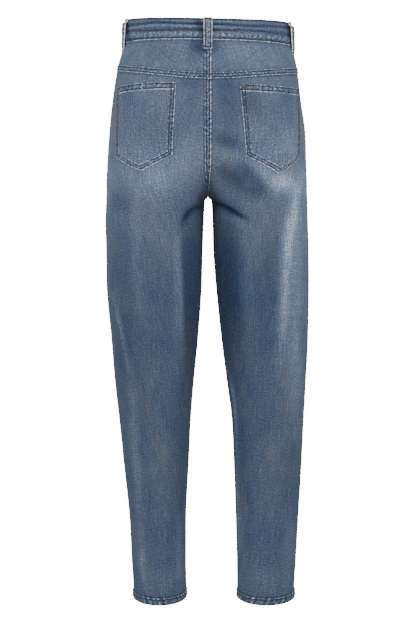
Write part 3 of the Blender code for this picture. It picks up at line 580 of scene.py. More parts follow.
class Cloth:
    """Places on one panel, with their height above the plain surface and their wear and painted shade."""

    def __init__(self, leg, face, angle, drop, height=0.0, wear=0.0):
        self.leg, self.face = leg, face
        self.angle, self.drop = np.asarray(angle, float), np.asarray(drop, float)
        self.plain = section_point(leg, self.angle, self.drop)
        self.normal = section_normal(leg, self.angle, self.drop)
        folds = fold_height(leg, self.angle, self.plain)
        self.height = folds + height
        # The wash table adds the wash's fades and dark patches, and also painted shade and highlight.
        self.wear = PLAIN_WEAR(self.drop) + wash_and_shading(leg, self.angle, self.plain)
        # Folds make the cloth paler on their worn ridges and add painted shade in their troughs.
        self.wear = self.wear + FOLD_WEAR_AND_SHADE * folds + wear

    def points(self, out=0.0):
        """Points moved out from the cloth's face, in the frame."""
        moved = self.plain + self.normal * (self.height + out)[..., None]
        return to_frame(self.leg, moved)

    def normals(self):
        """Outward normals, in the frame."""
        turned = self.normal.copy()
        turned[..., 0] *= LEG_SIGN[self.leg]
        return turned


def mouth_arc(level):
    """Arc from the side seam to the edge of the front pocket's mouth."""
    share = np.clip((np.asarray(level, float) - WAISTBAND_SEAM) / MOUTH_DROP, 0.0, 1.0)
    return MOUTH_ACROSS * np.sqrt(1.0 - share ** 2)


def mouth_distance(arc_side, level):
    """About how far a place on the front lies beyond the edge of the pocket's mouth."""
    across = arc_side / MOUTH_ACROSS
    down = (level - WAISTBAND_SEAM) / MOUTH_DROP
    radius = np.hypot(across, down)
    slope = np.hypot(across / MOUTH_ACROSS, down / MOUTH_DROP) / np.maximum(radius, 1e-6)
    return (radius - 1.0) / slope


def panel_rope(kind, level, arc_centre):
    """How strongly a panel's cloth is puckered, most in its bands and a little beside them."""
    edges = [arc_centre - FELL_WIDTH]
    if kind == "back":
        edges.append(level - YOKE_SEAM - YOKE_FELL_HEIGHT)
    if kind == "yoke":
        edges.append(YOKE_SEAM - level - 2.0)
    else:
        edges.append(HEM - level - HEM_HEIGHT)
    beyond = np.maximum(np.min(np.broadcast_arrays(*edges), axis=0), 0.0)
    return np.where(beyond > 0.0, ROPE_BESIDE, 1.0) * np.exp(-beyond / ROPE_FADE)


def panel_relief(leg, face, kind, level, arc_side, arc_centre):
    """Height, and wear and painted shade, of a panel's seams, bands and hem."""
    seed = 1.0 if leg == "left" else 2.6
    seed += 4.0 if face < 0 else 0.0
    height, wear = stitched_band(arc_centre, FELL_WIDTH, level, seed, bright=CENTRE_EDGE_WEAR_AND_HIGHLIGHT[leg])
    below = smoothstep(CROTCH - 30.0, CROTCH + 40.0, level)
    height = height * (1.0 - 0.35 * below)
    wear = wear * (1.0 - 0.45 * below)
    if kind == "back":
        down = level - YOKE_SEAM
        yoke_rows = (YOKE_LOW_ROW, YOKE_FELL_HEIGHT - YOKE_TOP_ROW)
        rumple = 0.7 + 1.3 * line(arc_centre, 34.0, 24.0) + 0.5 * line(arc_centre, 120.0, 30.0)
        band_height, band_wear_and_shade = stitched_band(down, YOKE_FELL_HEIGHT, 1.7 * arc_side, seed + 3.0,
                                               rows=yoke_rows, bright=0.42, rumple=rumple)
        band_wear_and_shade = band_wear_and_shade + 0.40 * line(down, 0.3, 0.8)
        height = np.maximum(height, band_height)
        wear = wear + band_wear_and_shade
    if kind == "yoke":
        lower = YOKE_SEAM - level
        upper = level - WAISTBAND_SEAM
        wave = pucker(arc_side, seed + 3.0)
        height = height + 0.35 * wave * np.exp(-lower / 6.0) + 0.25 * wave * np.exp(-upper / 5.0)
        # Puckers by the yoke seam, a painted shadow line just above the back panel's raised band, and painted
        # shade just under the waistband.
        wear = wear + 0.10 * wave * np.exp(-lower / 6.0) - 0.30 * line(lower, 0.9, 1.0)
        wear = wear - 0.14 * np.exp(-upper / 3.5)
    side_wave = pucker(level, seed + 6.0)
    side = np.exp(-(arc_side / 2.6) ** 2) * smoothstep(CROTCH - 160.0, CROTCH, level)
    height = height + side * (0.7 + 0.35 * side_wave)
    wear = wear + side * (0.12 + 0.14 * side_wave)
    if kind == "front":
        beyond = mouth_distance(arc_side, level)
        mouth = smoothstep(WAISTBAND_SEAM + MOUTH_DROP + 2.0, WAISTBAND_SEAM + MOUTH_DROP - 2.0, level)
        wave = pucker(np.arctan2(level - WAISTBAND_SEAM, arc_side) * 70.0, seed + 8.0)
        lip = np.exp(-np.maximum(beyond, 0.0) / 8.0) * mouth
        near_row, far_row = (line(beyond, at, 0.8) for at in MOUTH_ROWS)
        height = height + 0.30 * wave * lip - 0.3 * mouth * (near_row + far_row)
        wear = wear + mouth * (0.40 * line(beyond, 0.2, 0.8) + 0.12 * wave * lip)
        # The mouth's stitch rows are dark for the brown thread, with painted shade in their sunken grooves.
        wear = wear - mouth * (0.45 * near_row + 0.40 * far_row)
    if kind != "yoke":
        up = HEM - level
        hem_height, hem_wear_and_shade = stitched_band(up, HEM_HEIGHT, arc_side, seed + 5.0, bright=0.42, rumple=1.3)
        foot = smoothstep(0.0, 1.6, up)
        hem_wear_and_shade = hem_wear_and_shade * foot - 0.12 * (1.0 - foot)
        near = smoothstep(HEM - 30.0, HEM - 20.0, level)
        height = height + near * hem_height
        wear = wear + near * hem_wear_and_shade
    return height, wear


def panel_cloth(leg, face, kind, levels, starts=None):
    """Cloth of a whole panel as a grid, with its arcs."""
    angles, drops, sides, centres, grid_levels = [], [], [], [], []
    for i, level in enumerate(levels):
        row = Row(leg, face, level)
        start = 0.0 if starts is None else float(starts[i])
        near_side = start + np.array(EDGE_ARCS[:5:2])
        near_centre = row.length - np.array(EDGE_ARCS[::-1])
        growth = 0.0
        if GROWTH_TOP < level < GROWTH_FOOT:
            even = np.interp(level, (GROWTH_TOP, GROWTH_FOOT), even_lengths(leg, face))
            growth = max(0.0, row.length - float(even))
        low, high = near_side[-1], near_centre[0]
        if i == 0:
            spans = int(round((max(cached_row(leg, face, 200.0).length, high) - low) / COLUMN_STEP))
        share = np.linspace(0.0, 1.0, spans + 1)[1:-1]
        middle = low + share * (high - low - growth) + growth * share ** GROWTH_POWER
        arcs = np.concatenate([near_side, middle, near_centre])
        angle, drop = row.at(arcs)
        angles.append(angle)
        drops.append(drop)
        sides.append(arcs - start if starts is not None else arcs)
        centres.append(row.length - arcs)
        grid_levels.append(np.full(len(arcs), float(level)))
    side, centre, level = np.array(sides), np.array(centres), np.array(grid_levels)
    true_side = side if starts is None else side + np.array(starts)[:, None]
    height, wear = panel_relief(leg, face, kind, level, true_side, centre)
    cloth = Cloth(leg, face, np.array(angles), np.array(drops), height, wear)
    cloth.arc_side, cloth.arc_centre, cloth.level = true_side, centre, level
    cloth.rope = panel_rope(kind, level, centre)
    cloth.edge = np.minimum(side, centre)
    return cloth


def spot(leg, face, kind, level, arc_centre):
    """Cloth at scattered places of a panel, given by level and by arc from the centre edge."""
    level, arc_centre = np.broadcast_arrays(np.asarray(level, float), np.asarray(arc_centre, float))
    rows = [cached_row(leg, face, one) for one in level]
    arc_side = np.array([row.length for row in rows]) - arc_centre
    places = [row.at(arc) for row, arc in zip(rows, arc_side)]
    angle = np.array([place[0] for place in places])
    drop = np.array([place[1] for place in places]) + (level - np.array([row.level for row in rows]))
    height, wear = panel_relief(leg, face, kind, level, arc_side, arc_centre)
    return Cloth(leg, face, angle, drop, height, wear)


# Meshes

def link(name, points, faces, sharp=50.0):
    """A smooth-shaded mesh object in the scene from points in millimetres."""
    mesh = bpy.data.meshes.new(name)
    mesh.from_pydata(np.asarray(points, float).reshape(-1, 3) * MM, [], faces)
    mesh.shade_smooth()
    mesh.set_sharp_from_angle(angle=math.radians(sharp))
    piece = bpy.data.objects.new(name, mesh)
    bpy.context.scene.collection.objects.link(piece)
    return piece


def grid_faces(rows, cols):
    """Faces of a closed wall between two grids, the outer one first."""
    count = rows * cols
    index = np.arange(count).reshape(rows, cols)
    a, b, c, d = index[:-1, :-1], index[1:, :-1], index[1:, 1:], index[:-1, 1:]
    outer = np.stack([a, b, c, d], axis=-1).reshape(-1, 4)
    inner = outer[:, ::-1] + count
    rim = np.concatenate([index[:, 0][::-1], index[0, 1:], index[1:, -1], index[-1, 1:-1][::-1]])
    after = np.roll(rim, -1)
    edge = np.stack([rim, rim + count, after + count, after], axis=-1)
    return np.concatenate([outer, inner, edge[:, ::-1]])


def signed_volume(points, faces):
    """Six times the signed volume inside a mesh of four-sided faces."""
    corners = points[faces]
    first = np.einsum("ij,ij->i", corners[:, 0], np.cross(corners[:, 1], corners[:, 2]))
    second = np.einsum("ij,ij->i", corners[:, 0], np.cross(corners[:, 2], corners[:, 3]))
    return float((first + second).sum())


def cloth_shell(name, outer, inner, wear, weave, rope=0.0):
    """A closed thin shell with its wear and painted shade and its weave directions stored at each point.

    Weave holds the arc and the level in millimetres, for the twill. Rope is how strongly each place is
    puckered by its sewing. The inner face is marked as the reverse of the cloth.
    """
    rows, cols = outer.shape[:2]
    faces = grid_faces(rows, cols)
    points = np.concatenate([outer.reshape(-1, 3), inner.reshape(-1, 3)])
    if signed_volume(points, faces) < 0:
        faces = faces[:, ::-1]
    piece = link(name, points, faces)
    mesh = piece.data
    add_attribute(mesh, "wear", "FLOAT", np.tile(np.asarray(wear, float).ravel(), 2))
    add_attribute(mesh, "rope", "FLOAT", np.tile(np.broadcast_to(rope, (rows, cols)).ravel(), 2))
    flat = np.zeros((len(points), 3))
    flat[:rows * cols, :2] = np.stack(weave, axis=-1).reshape(-1, 2)
    flat[rows * cols:, :2] = flat[:rows * cols, :2]
    add_attribute(mesh, "weave", "FLOAT_VECTOR", flat)
    add_attribute(mesh, "reverse", "FLOAT", np.repeat([0.0, 1.0], rows * cols))
    return piece


def add_attribute(mesh, name, kind, values):
    """Stores one value for each point of a mesh."""
    field = "vector" if kind == "FLOAT_VECTOR" else "value"
    layer = mesh.attributes.new(name, kind, "POINT")
    layer.data.foreach_set(field, np.asarray(values, np.float32).ravel())


def dress(piece, node, material):
    """Gives a piece its material, attaches it to the root and hides the solid that it stands for."""
    piece.data.materials.append(material)
    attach(piece, "root")
    if node:
        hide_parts(node)
    return piece


def rounded(distance, radius=EDGE_ROUND):
    """How far a face falls back near a turned edge, from its distance to the edge."""
    inside = np.clip(1.0 - np.asarray(distance, float) / radius, 0.0, 1.0)
    return radius * (1.0 - np.sqrt(1.0 - inside ** 2))


# Materials

# Columns: name, stretch across, stretch along, detail, roughness.
DENIM_NOISES = (
    ("slubs", 0.62, 0.028, 3.0, 0.60),
    ("picks", 0.08, 0.50, 2.0, 0.60),
    ("speckle", 0.50, 0.42, 2.0, 0.75),
    ("mottle", 0.020, 0.012, 3.0, 0.60),
    ("puckers", 0.30, 0.30, 2.0, 0.65),
    ("cast", 0.016, 0.010, 2.0, 0.60),
)
YARN_RELIEF = 1.2
PUCKER_RELIEF = 4.0
RELIEF_HEIGHT = 0.0006
THREAD_GRAIN = 900.0
METAL_GRAIN = 420.0
TAPE_RIBS = 300.0


class Finish:
    """A new material, with short ways to add its nodes and join them."""

    def __init__(self, name):
        self.material = bpy.data.materials.new(name)
        self.material.use_nodes = True
        self.nodes, self.links = self.material.node_tree.nodes, self.material.node_tree.links

    def feed(self, node, inputs):
        """Gives a node's inputs numbers, colours, vectors or other nodes' outputs."""
        for name, value in inputs.items():
            socket = node.inputs[name]
            if isinstance(value, bpy.types.NodeSocket):
                self.links.new(value, socket)
            elif socket.type == "RGBA":
                socket.default_value = (*value, 1.0)
            else:
                socket.default_value = value

    def shade(self, inputs):
        """Gives the shader its inputs, and returns the finished material."""
        self.feed(self.nodes["Principled BSDF"], inputs)
        return self.material

    def node(self, kind, inputs, **settings):
        """A new node with its settings and inputs."""
        node = self.nodes.new("ShaderNode" + kind)
        for name, value in settings.items():
            setattr(node, name, value)
        self.feed(node, inputs)
        return node

    def math(self, operation, first, second):
        """A sum, difference, product or quotient."""
        return self.node("Math", {0: first, 1: second}, operation=operation).outputs[0]

    def stored(self, name, output="Fac"):
        """A value stored at the points of the mesh."""
        return self.node("Attribute", {}, attribute_name=name).outputs[output]

    def place(self):
        """The place on the object itself."""
        return self.node("TexCoord", {}).outputs["Object"]

    def noise(self, place, stretch, detail, roughness=0.6):
        """Noise stretched along the directions of a place."""
        scaled = self.node("VectorMath", {0: place, 1: stretch}, operation="MULTIPLY").outputs[0]
        inputs = {"Scale": 1.0, "Detail": detail, "Roughness": roughness, "Vector": scaled}
        return self.node("TexNoise", inputs).outputs["Fac"]

    def mix(self, factor, first, second):
        """A mix of two colours."""
        inputs = {"Factor": factor, "A": first, "B": second}
        return self.node("Mix", inputs, data_type="RGBA").outputs["Result"]

    def ramp(self, value, colours):
        """Colours at even places along a ramp."""
        ramp = self.node("ValToRGB", {"Fac": value})
        elements = ramp.color_ramp.elements
        while len(elements) < len(colours):
            elements.new(0.5)
        for k, (element, colour) in enumerate(zip(elements, colours)):
            element.position = k / (len(colours) - 1)
            element.color = (*colour, 1.0)
        return ramp.outputs["Color"]


def denim_material(name, settings):
    """Twill whose colour follows the stored wear and painted shade, with slubs along the leg and a paler
    reverse.
    """
    finish = Finish(name)
    place = finish.stored("weave", "Vector")
    noise = {kind: finish.noise(place, (across, along, 1.0), detail, roughness)
             for kind, across, along, detail, roughness in DENIM_NOISES}
    bands = {"Scale": settings.twill_scale, "Distortion": 1.2, "Detail": 2.0, "Vector": place}
    twill = finish.node("TexWave", bands, wave_type="BANDS", bands_direction="DIAGONAL").outputs["Fac"]
    ripple = finish.math("MULTIPLY", finish.math("SUBTRACT", noise["puckers"], 0.5), finish.stored("rope"))
    total = finish.math("ADD", finish.stored("wear"), finish.math("MULTIPLY", ripple, settings.rope))
    for texture, amount in ((noise["slubs"], settings.slub), (noise["picks"], settings.slub * 0.5),
                            (noise["speckle"], settings.speckle), (noise["mottle"], settings.mottle),
                            (twill, settings.twill)):
        centred = finish.math("SUBTRACT", texture, 0.5)
        total = finish.math("ADD", total, finish.math("MULTIPLY", centred, amount))
    face = finish.ramp(finish.math("DIVIDE", total, WORN_WHITE),
                       (settings.indigo, settings.dark, settings.mid, settings.pale, settings.faded,
                        settings.worn))
    blue = finish.math("ADD", finish.math("MULTIPLY", noise["cast"], settings.cast), 1.0 - 0.50 * CAST)
    face = finish.node("HueSaturation", {"Saturation": blue, "Color": face}).outputs["Color"]
    back = finish.mix(noise["speckle"], settings.reverse_dark, settings.reverse_pale)
    yarns = finish.math("MULTIPLY", finish.math("ADD", noise["slubs"], noise["speckle"]), YARN_RELIEF)
    ripples = finish.math("MULTIPLY", ripple, PUCKER_RELIEF)
    grain = finish.math("ADD", finish.math("ADD", twill, yarns), ripples)
    bump = finish.node("Bump", {"Strength": settings.bump, "Distance": RELIEF_HEIGHT, "Height": grain})
    return finish.shade({"Base Color": finish.mix(finish.stored("reverse"), face, back), "Roughness": 0.88,
                         "Specular IOR Level": 0.25, "Normal": bump.outputs["Normal"]})


def thread_material(name, colour, dark):
    """Twisted thread with a slight change of tone along it."""
    finish = Finish(name)
    noise = finish.noise(finish.place(), (THREAD_GRAIN,) * 3, 2.0)
    return finish.shade({"Base Color": finish.mix(noise, dark, colour), "Roughness": 0.6})


def metal_material(name, colour, rubbed):
    """Dull plated metal, rubbed brighter in places."""
    finish = Finish(name)
    noise = finish.noise(finish.place(), (METAL_GRAIN,) * 3, 4.0)
    rough = finish.node("MapRange", {"Value": noise, "To Min": 0.28, "To Max": 0.50}).outputs["Result"]
    return finish.shade({"Base Color": finish.mix(noise, colour, rubbed), "Roughness": rough,
                         "Metallic": 1.0})


def tape_material(name, colour):
    """Woven zip tape with fine ribs."""
    finish = Finish(name)
    ribs = finish.node("TexWave", {"Scale": TAPE_RIBS, "Vector": finish.place()}, bands_direction="Z")
    shades = finish.ramp(ribs.outputs["Fac"], ([value * 0.7 for value in colour], colour))
    return finish.shade({"Base Color": shades, "Roughness": 0.9})


def kept_material(name, make, *values):
    """A material by name, made on first use."""
    return bpy.data.materials.get(name) or make(name, *values)


def denim():
    """The denim that every panel shares."""
    return kept_material("washed_denim", denim_material, bpy.context.scene.jeans_denim)


# Panels

def lines_between(low, high, step):
    """Evenly spaced levels with about the given step, both ends included."""
    return list(np.linspace(low, high, max(2, int(round((high - low) / step)) + 1)))


def leg_levels(top):
    """Levels of a leg panel below its top details, closer together round the crotch and hem."""
    levels = lines_between(top, 270.0, ROW_STEP)[:-1]
    levels += lines_between(270.0, 345.0, ROW_STEP * 0.7)[:-1]
    levels += lines_between(345.0, HEM + HEM_ROWS[0] - 2.0, ROW_STEP)
    return levels + [HEM + row for row in HEM_ROWS]


def finish_panel(cloth, name, node):
    """Makes a panel's shell, with its free hem rounded and nothing across the centre plane."""
    fall = rounded(HEM - cloth.level)
    outer = cloth.points(-fall)
    inner = cloth.points(fall - CLOTH - cloth.height + fold_height(cloth.leg, cloth.angle, cloth.plain))
    sign = LEG_SIGN[cloth.leg]
    meets = (cloth.arc_centre < 2 * HALF_GAP) & (cloth.drop < CROTCH)
    for grid in (outer, inner):
        grid[..., 0] = np.where(meets, 0.0, sign * np.maximum(sign * grid[..., 0], HALF_GAP))
    piece = cloth_shell(name, outer, inner, cloth.wear, (cloth.arc_side, cloth.level), cloth.rope)
    return dress(piece, node, denim())


def make_back(leg):
    """The back leg panel, from the felled yoke seam to the hem."""
    levels = [YOKE_SEAM + HALF_GAP + row for row in BAND_ROWS]
    levels += leg_levels(levels[-1] + 2.5)
    cloth = panel_cloth(leg, 1, "back", levels)
    return finish_panel(cloth, leg + "_back_denim", "back_" + leg)


def make_yoke(leg):
    """The back yoke between the waistband and the back panel."""
    levels = lines_between(WAISTBAND_SEAM + HALF_GAP, YOKE_SEAM - HALF_GAP, 2.0 / DETAIL)
    cloth = panel_cloth(leg, 1, "yoke", levels)
    return finish_panel(cloth, leg + "_yoke_denim", "yoke_" + leg)


def make_front(leg):
    """The front leg panel, with the pocket mouth cut out of its top corner."""
    foot = WAISTBAND_SEAM + MOUTH_DROP
    levels = lines_between(WAISTBAND_SEAM + HALF_GAP, foot - 14.0, ROW_STEP)
    levels += [foot - gap for gap in (11.0, 8.5, 6.4, 4.6, 3.2, 2.1, 1.2, 0.6, 0.2, 0.05, 0.0)]
    levels += leg_levels(foot + 2.0)
    starts = [float(mouth_arc(level)) for level in levels]
    cloth = panel_cloth(leg, -1, "front", levels, starts)
    return finish_panel(cloth, leg + "_front_denim", "front_" + leg)


def make_facing(leg):
    """The facing that fills the front pocket's mouth and runs in behind the front."""
    angles, drops, raises, shades, arcs_all, levels_all = [], [], [], [], [], []
    for level in np.linspace(WAISTBAND_SEAM + HALF_GAP, WAISTBAND_SEAM + MOUTH_DROP * 1.10, 40):
        share = (level - WAISTBAND_SEAM) / (MOUTH_DROP * FACING_UNDERLAP)
        reach = MOUTH_ACROSS * FACING_UNDERLAP * math.sqrt(1.0 - share ** 2)
        row = Row(leg, -1, level)
        arcs = np.linspace(HALF_GAP, reach, 34)
        angle, drop = row.at(arcs)
        inside = np.hypot(arcs / MOUTH_ACROSS, (level - WAISTBAND_SEAM) / MOUTH_DROP)
        angles.append(angle)
        drops.append(drop)
        raises.append(-FACING_SINK * smoothstep(0.70, 0.93, inside))
        # Painted shade: the facing is darker all over in the mouth, and darker still towards where it runs in
        # behind the front.
        shades.append(-0.10 - 0.25 * smoothstep(0.80, 1.0, inside))
        arcs_all.append(arcs)
        levels_all.append(np.full(len(arcs), level))
    cloth = Cloth(leg, -1, np.array(angles), np.array(drops), np.array(raises), np.array(shades))
    piece = cloth_shell(leg + "_pocket_facing_denim", cloth.points(), cloth.points(-FACING_THICK),
                        cloth.wear, (np.array(arcs_all), np.array(levels_all)))
    return dress(piece, "pocket_facing_" + leg, denim())


@lru_cache(maxsize=None)
def level_line(leg, face, drop):
    """Arcs from the centre seam and angles along a level line."""
    angle = face * np.linspace(centre_angle(leg, drop, face), 0.0, SECTION_SAMPLES)
    steps = np.linalg.norm(np.diff(section_point(leg, angle, drop), axis=0), axis=1)
    return np.concatenate([[0.0], np.cumsum(steps)]), angle


def level_angle(leg, face, arc_centre, drop):
    """Angle at an arc from the centre seam on a level line."""
    return float(np.interp(arc_centre, *level_line(leg, face, round(float(drop), 1))))


def pocket_place(leg, share, down):
    """Arc from the centre and drop of a place on the back pocket, from its shares across and down."""
    corner = POCKET_CORNERS[leg]
    top_arc = corner["top_inner"][0] * (1 - share) + corner["top_outer"][0] * share
    top = corner["top_inner"][1] * (1 - share) + corner["top_outer"][1] * share
    top -= POCKET_TOP_BOW[leg] * math.sin(math.pi * share)
    knots = [corner[name][0] for name in ("low_inner", "tip", "low_outer")]
    lows = [corner[name][1] for name in ("low_inner", "tip", "low_outer")]
    low_arc = corner["low_inner"][0] * (1 - share) + corner["low_outer"][0] * share
    low = float(np.interp(low_arc, knots, lows))
    return top_arc + down * (low_arc - top_arc), top + down * (low - top), low - top, low_arc


def pocket_relief(leg, top, low, inner, outer, along_side):
    """Height, and wear and painted shade, over the pocket, from its distances to its four edges."""
    seed = 11.0 if leg == "left" else 13.0
    hem = 1.0 - smoothstep(POCKET_HEM, POCKET_HEM + STEP_WIDTH, top)
    wave = pucker(inner, seed)
    height = hem * (POCKET_HEM_RAISE + 0.25 * wave) + 0.18 * wave * np.exp(-np.abs(top - POCKET_HEM) / 6.0)
    wear = 0.22 * wave * hem
    nearest = np.minimum(np.minimum(inner, outer), low)
    ripple = pucker(np.where(low < np.minimum(inner, outer), inner, along_side), seed + 1.0)
    height = height + 0.24 * ripple * np.exp(-nearest / 5.0)
    wear = wear + 0.20 * ripple * np.exp(-nearest / 6.0)
    bright = np.maximum(line(nearest, 0.0, 1.15), 0.8 * line(top, 0.0, 1.0))
    bright = np.maximum(bright, line(top, POCKET_HEM + 0.4, 0.8)) * (1.0 + 0.30 * ripple)
    bright = np.maximum(bright, 0.45 * line(nearest, 8.4, 0.7) * (low < 20.0))
    # The stitch rows are dark for the brown thread, with painted shade in their sunken grooves.
    dark = np.maximum(line(nearest, POCKET_ROW, 0.8), line(top, POCKET_ROW, 0.8))
    dark = np.maximum(dark, line(top, POCKET_HEM - POCKET_HEM_ROW, 0.8))
    dark = np.maximum(dark, 0.75 * line(nearest, POCKET_INNER_ROW, 0.8))
    return height - 0.25 * dark, wear + 0.60 * bright - 0.66 * dark


def pocket_cloth(leg, shares, downs):
    """Cloth of the back pocket at a grid or a list of places."""
    arcs, drops, lengths = (np.zeros(np.shape(shares)) for _ in range(3))
    angles = np.zeros(np.shape(shares))
    for index in np.ndindex(np.shape(shares)):
        arc, drop, length, _ = pocket_place(leg, float(shares[index]), float(downs[index]))
        arcs[index], drops[index], lengths[index] = arc, drop, length
        angles[index] = level_angle(leg, 1, arc, drop)
    corner = POCKET_CORNERS[leg]
    top_width = corner["top_outer"][0] - corner["top_inner"][0]
    low_width = corner["low_outer"][0] - corner["low_inner"][0]
    width = top_width + downs * (low_width - top_width)
    slope = np.where(arcs < corner["tip"][0], 0.90, 0.91)
    top, low = downs * lengths, (1.0 - downs) * lengths * slope
    inner, outer = shares * width, (1.0 - shares) * width
    height, wear = pocket_relief(leg, top, low, inner, outer, top)
    cloth = Cloth(leg, 1, angles, drops, height + LAY_GAP + CLOTH, wear)
    edge = np.minimum(np.minimum(top, low), np.minimum(inner, outer))
    cloth.arc, cloth.level, cloth.edge, cloth.under = arcs, drops, edge, height
    return cloth


def make_back_pocket(leg):
    """The five-sided patch pocket, sewn on along its sides and foot."""
    corner = POCKET_CORNERS[leg]
    width = corner["top_outer"][0] - corner["top_inner"][0]
    height = corner["low_inner"][1] - corner["top_inner"][1]
    near = np.array([0.0, 0.5, 1.0, 1.7, 2.4, 3.2, 4.4, 5.8, 6.8, 7.6, 8.4, 9.4])
    fine = np.array([10.2, 11.0, 11.8, 12.8, 14.0])
    across = np.concatenate([near, lines_between(10.8, width - 10.8, 2.4 / DETAIL),
                             width - near[::-1]]) / width
    down = np.concatenate([near, fine, lines_between(16.0, height - 11.0, 2.6 / DETAIL),
                           height - near[::-1]]) / height
    shares, downs = np.meshgrid(across, down)
    cloth = pocket_cloth(leg, shares, downs)
    fall = rounded(cloth.edge, 0.9)
    outer = cloth.points(-fall)
    inner = cloth.points(-CLOTH - cloth.under)
    rope = 0.9 * np.exp(-np.maximum(cloth.edge - 8.0, 0.0) / 2.0) + 0.25
    piece = cloth_shell(leg + "_back_pocket_denim", outer, inner, cloth.wear, (cloth.arc, cloth.level), rope)
    return dress(piece, "pocket_back_" + leg, denim())


# Waistband and belt loops

def ring_samples(level):
    """The whole ring at the waist, from the centre front round the wearer's right and back to it."""
    points, normals = [], []
    for leg, face, turned in (("right", -1, True), ("right", 1, False), ("left", 1, True),
                              ("left", -1, False)):
        end = centre_angle(leg, level, face)
        angle = face * np.linspace(0.0, end, SECTION_SAMPLES)
        angle = angle[::-1] if turned else angle
        dip = WAISTBAND_TOP_DIP * np.sin(angle) ** 2
        dip *= float(smoothstep(WAISTBAND_SEAM, WAISTBAND_TOP, level))
        place = section_point(leg, angle, level + dip)
        normal = section_normal(leg, angle, level + dip)
        place[:, 0] *= LEG_SIGN[leg]
        normal[:, 0] *= LEG_SIGN[leg]
        points.append(place)
        normals.append(normal)
    points, normals = np.concatenate(points), np.concatenate(normals)
    steps = np.linalg.norm(np.diff(points, axis=0), axis=1)
    keep = np.concatenate([[True], steps > 1e-6])
    arc = np.concatenate([[0.0], np.cumsum(steps)])
    return arc[keep], points[keep], normals[keep]


def band_relief(along, level):
    """Height, and wear and painted shade, of the waistband: long wrinkles round it, with painted shade in
    their grooves and painted highlight on their ridges, and puckers along its lower seam.
    """
    up = WAISTBAND_SEAM - level
    down = level - WAISTBAND_TOP
    drift = 1.3 * np.sin(along / 43.0) + 0.8 * np.sin(along / 17.0 + 1.0)
    swell = 0.75 + 0.25 * np.sin(along / 61.0 + 0.7)
    grooves = swell * (line(level, 10.0 + drift, 1.9) + line(level, 21.8 - 0.8 * drift, 1.9))
    ridges = swell * (line(level, 15.6 + drift, 2.2) + 0.8 * line(level, 5.6, 2.0))
    wave = pucker(along + 0.6 * up, 17.0)
    low = line(up, 9.5, 5.0) + 0.5 * line(up, 2.0, 2.0)
    height = 0.8 * ridges - 1.0 * grooves + 0.50 * wave * low + 0.4 * low
    # Painted shade in the wrinkles' grooves and painted highlight on their ridges, and paler puckers by the
    # lower seam.
    wear = 0.26 * ridges - 0.46 * grooves + (0.14 + 0.26 * wave) * low
    # A pale worn lower edge, and the foot's stitch row dark for the brown thread with painted shade in its
    # groove.
    wear = wear + 0.55 * line(up, 0.5, 0.75) - 0.90 * line(up, BAND_FOOT_ROW, 0.95)
    wear = wear - 0.12 * line(up, 4.8, 1.2)
    # Painted shade on the band beside each belt loop.
    for middle in LOOP_SHADES:
        wear = wear - 0.30 * line(along, middle, 7.0)
    # Darker along the top edge, and the top stitch row dark for the brown thread with painted shade in its
    # groove.
    wear = wear - 0.22 * line(down, 0.2, 1.4) - 0.36 * line(down, BAND_TOP_ROW, 0.9)
    return height, wear


def band_places(along, levels):
    """Points, normals, heights, and wear and painted shade on the waistband's outer face."""
    rings = [ring_samples(level) for level in levels]
    points, normals = [], []
    for arc, ring, ring_normals in rings:
        wrapped = np.mod(along, arc[-1])
        points.append(np.stack([np.interp(wrapped, arc, ring[:, k]) for k in range(3)], axis=1))
        normals.append(np.stack([np.interp(wrapped, arc, ring_normals[:, k]) for k in range(3)], axis=1))
    grid_along, grid_level = np.meshgrid(along, levels)
    height, wear = band_relief(grid_along, grid_level)
    sink = (BAND_THICK + LAY_GAP) * (1.0 - smoothstep(BAND_STEP_START, BAND_STEP_END, grid_along))
    return np.array(points), np.array(normals), height, wear, sink, grid_along, grid_level


def tilt(points):
    """The waist's slight tilt, for points that are already on their own side."""
    moved = np.array(points)
    fade = 1.0 - smoothstep(0.0, WAIST_TILT_END, -moved[..., 2])
    moved[..., 2] += WAIST_TILT * moved[..., 0] * fade
    return moved


def ring_length():
    """Length round the top of the waistband."""
    return float(ring_samples(WAISTBAND_TOP)[0][-1])


def make_waistband():
    """The doubled band, whose left end laps over the right end at the centre front."""
    around = ring_length()
    along = np.concatenate([lines_between(-BAND_UNDERLAP, BAND_STEP_END + 4.0, 3.0 / DETAIL),
                            lines_between(BAND_STEP_END + 6.0, around + BAND_OVERLAP, 2.1 / DETAIL)])
    edge_rows = np.array([0.0, 0.15, 0.5, 1.0, 1.7, 2.4, 3.1, 4.0])
    top, foot = WAISTBAND_TOP, WAISTBAND_SEAM - HALF_GAP
    levels = np.concatenate([top + edge_rows, lines_between(top + 5.2, foot - 5.2, 1.7 / DETAIL),
                             foot - edge_rows[::-1]])
    place, normal, height, wear, sink, grid_along, grid_level = band_places(along, levels)
    ends = np.minimum(grid_along + BAND_UNDERLAP, around + BAND_OVERLAP - grid_along)
    edge = np.minimum(np.minimum(grid_level - top, foot - grid_level), ends)
    fall = rounded(edge, 1.1)
    calm = smoothstep(0.0, 3.0, np.minimum(grid_level - top, ends))
    outer = place + normal * (BAND_PROUD + height * calm - sink - fall)[..., None]
    inner = place + normal * (BAND_PROUD - BAND_THICK - sink + fall)[..., None]
    piece = cloth_shell("waistband_denim", tilt(outer), tilt(inner), PLAIN_WEAR(grid_level) + wear,
                        (grid_level, grid_along), 0.55 + 0.6 * line(grid_level, foot - 7.0, 6.0))
    return dress(piece, "waistband", denim())


def level_angles(leg, face, arcs, drops):
    """Angles at arcs from the centre seam on level lines, for arrays of places."""
    pairs = zip(np.ravel(arcs), np.ravel(drops))
    return np.array([level_angle(leg, face, arc, drop) for arc, drop in pairs]).reshape(np.shape(arcs))


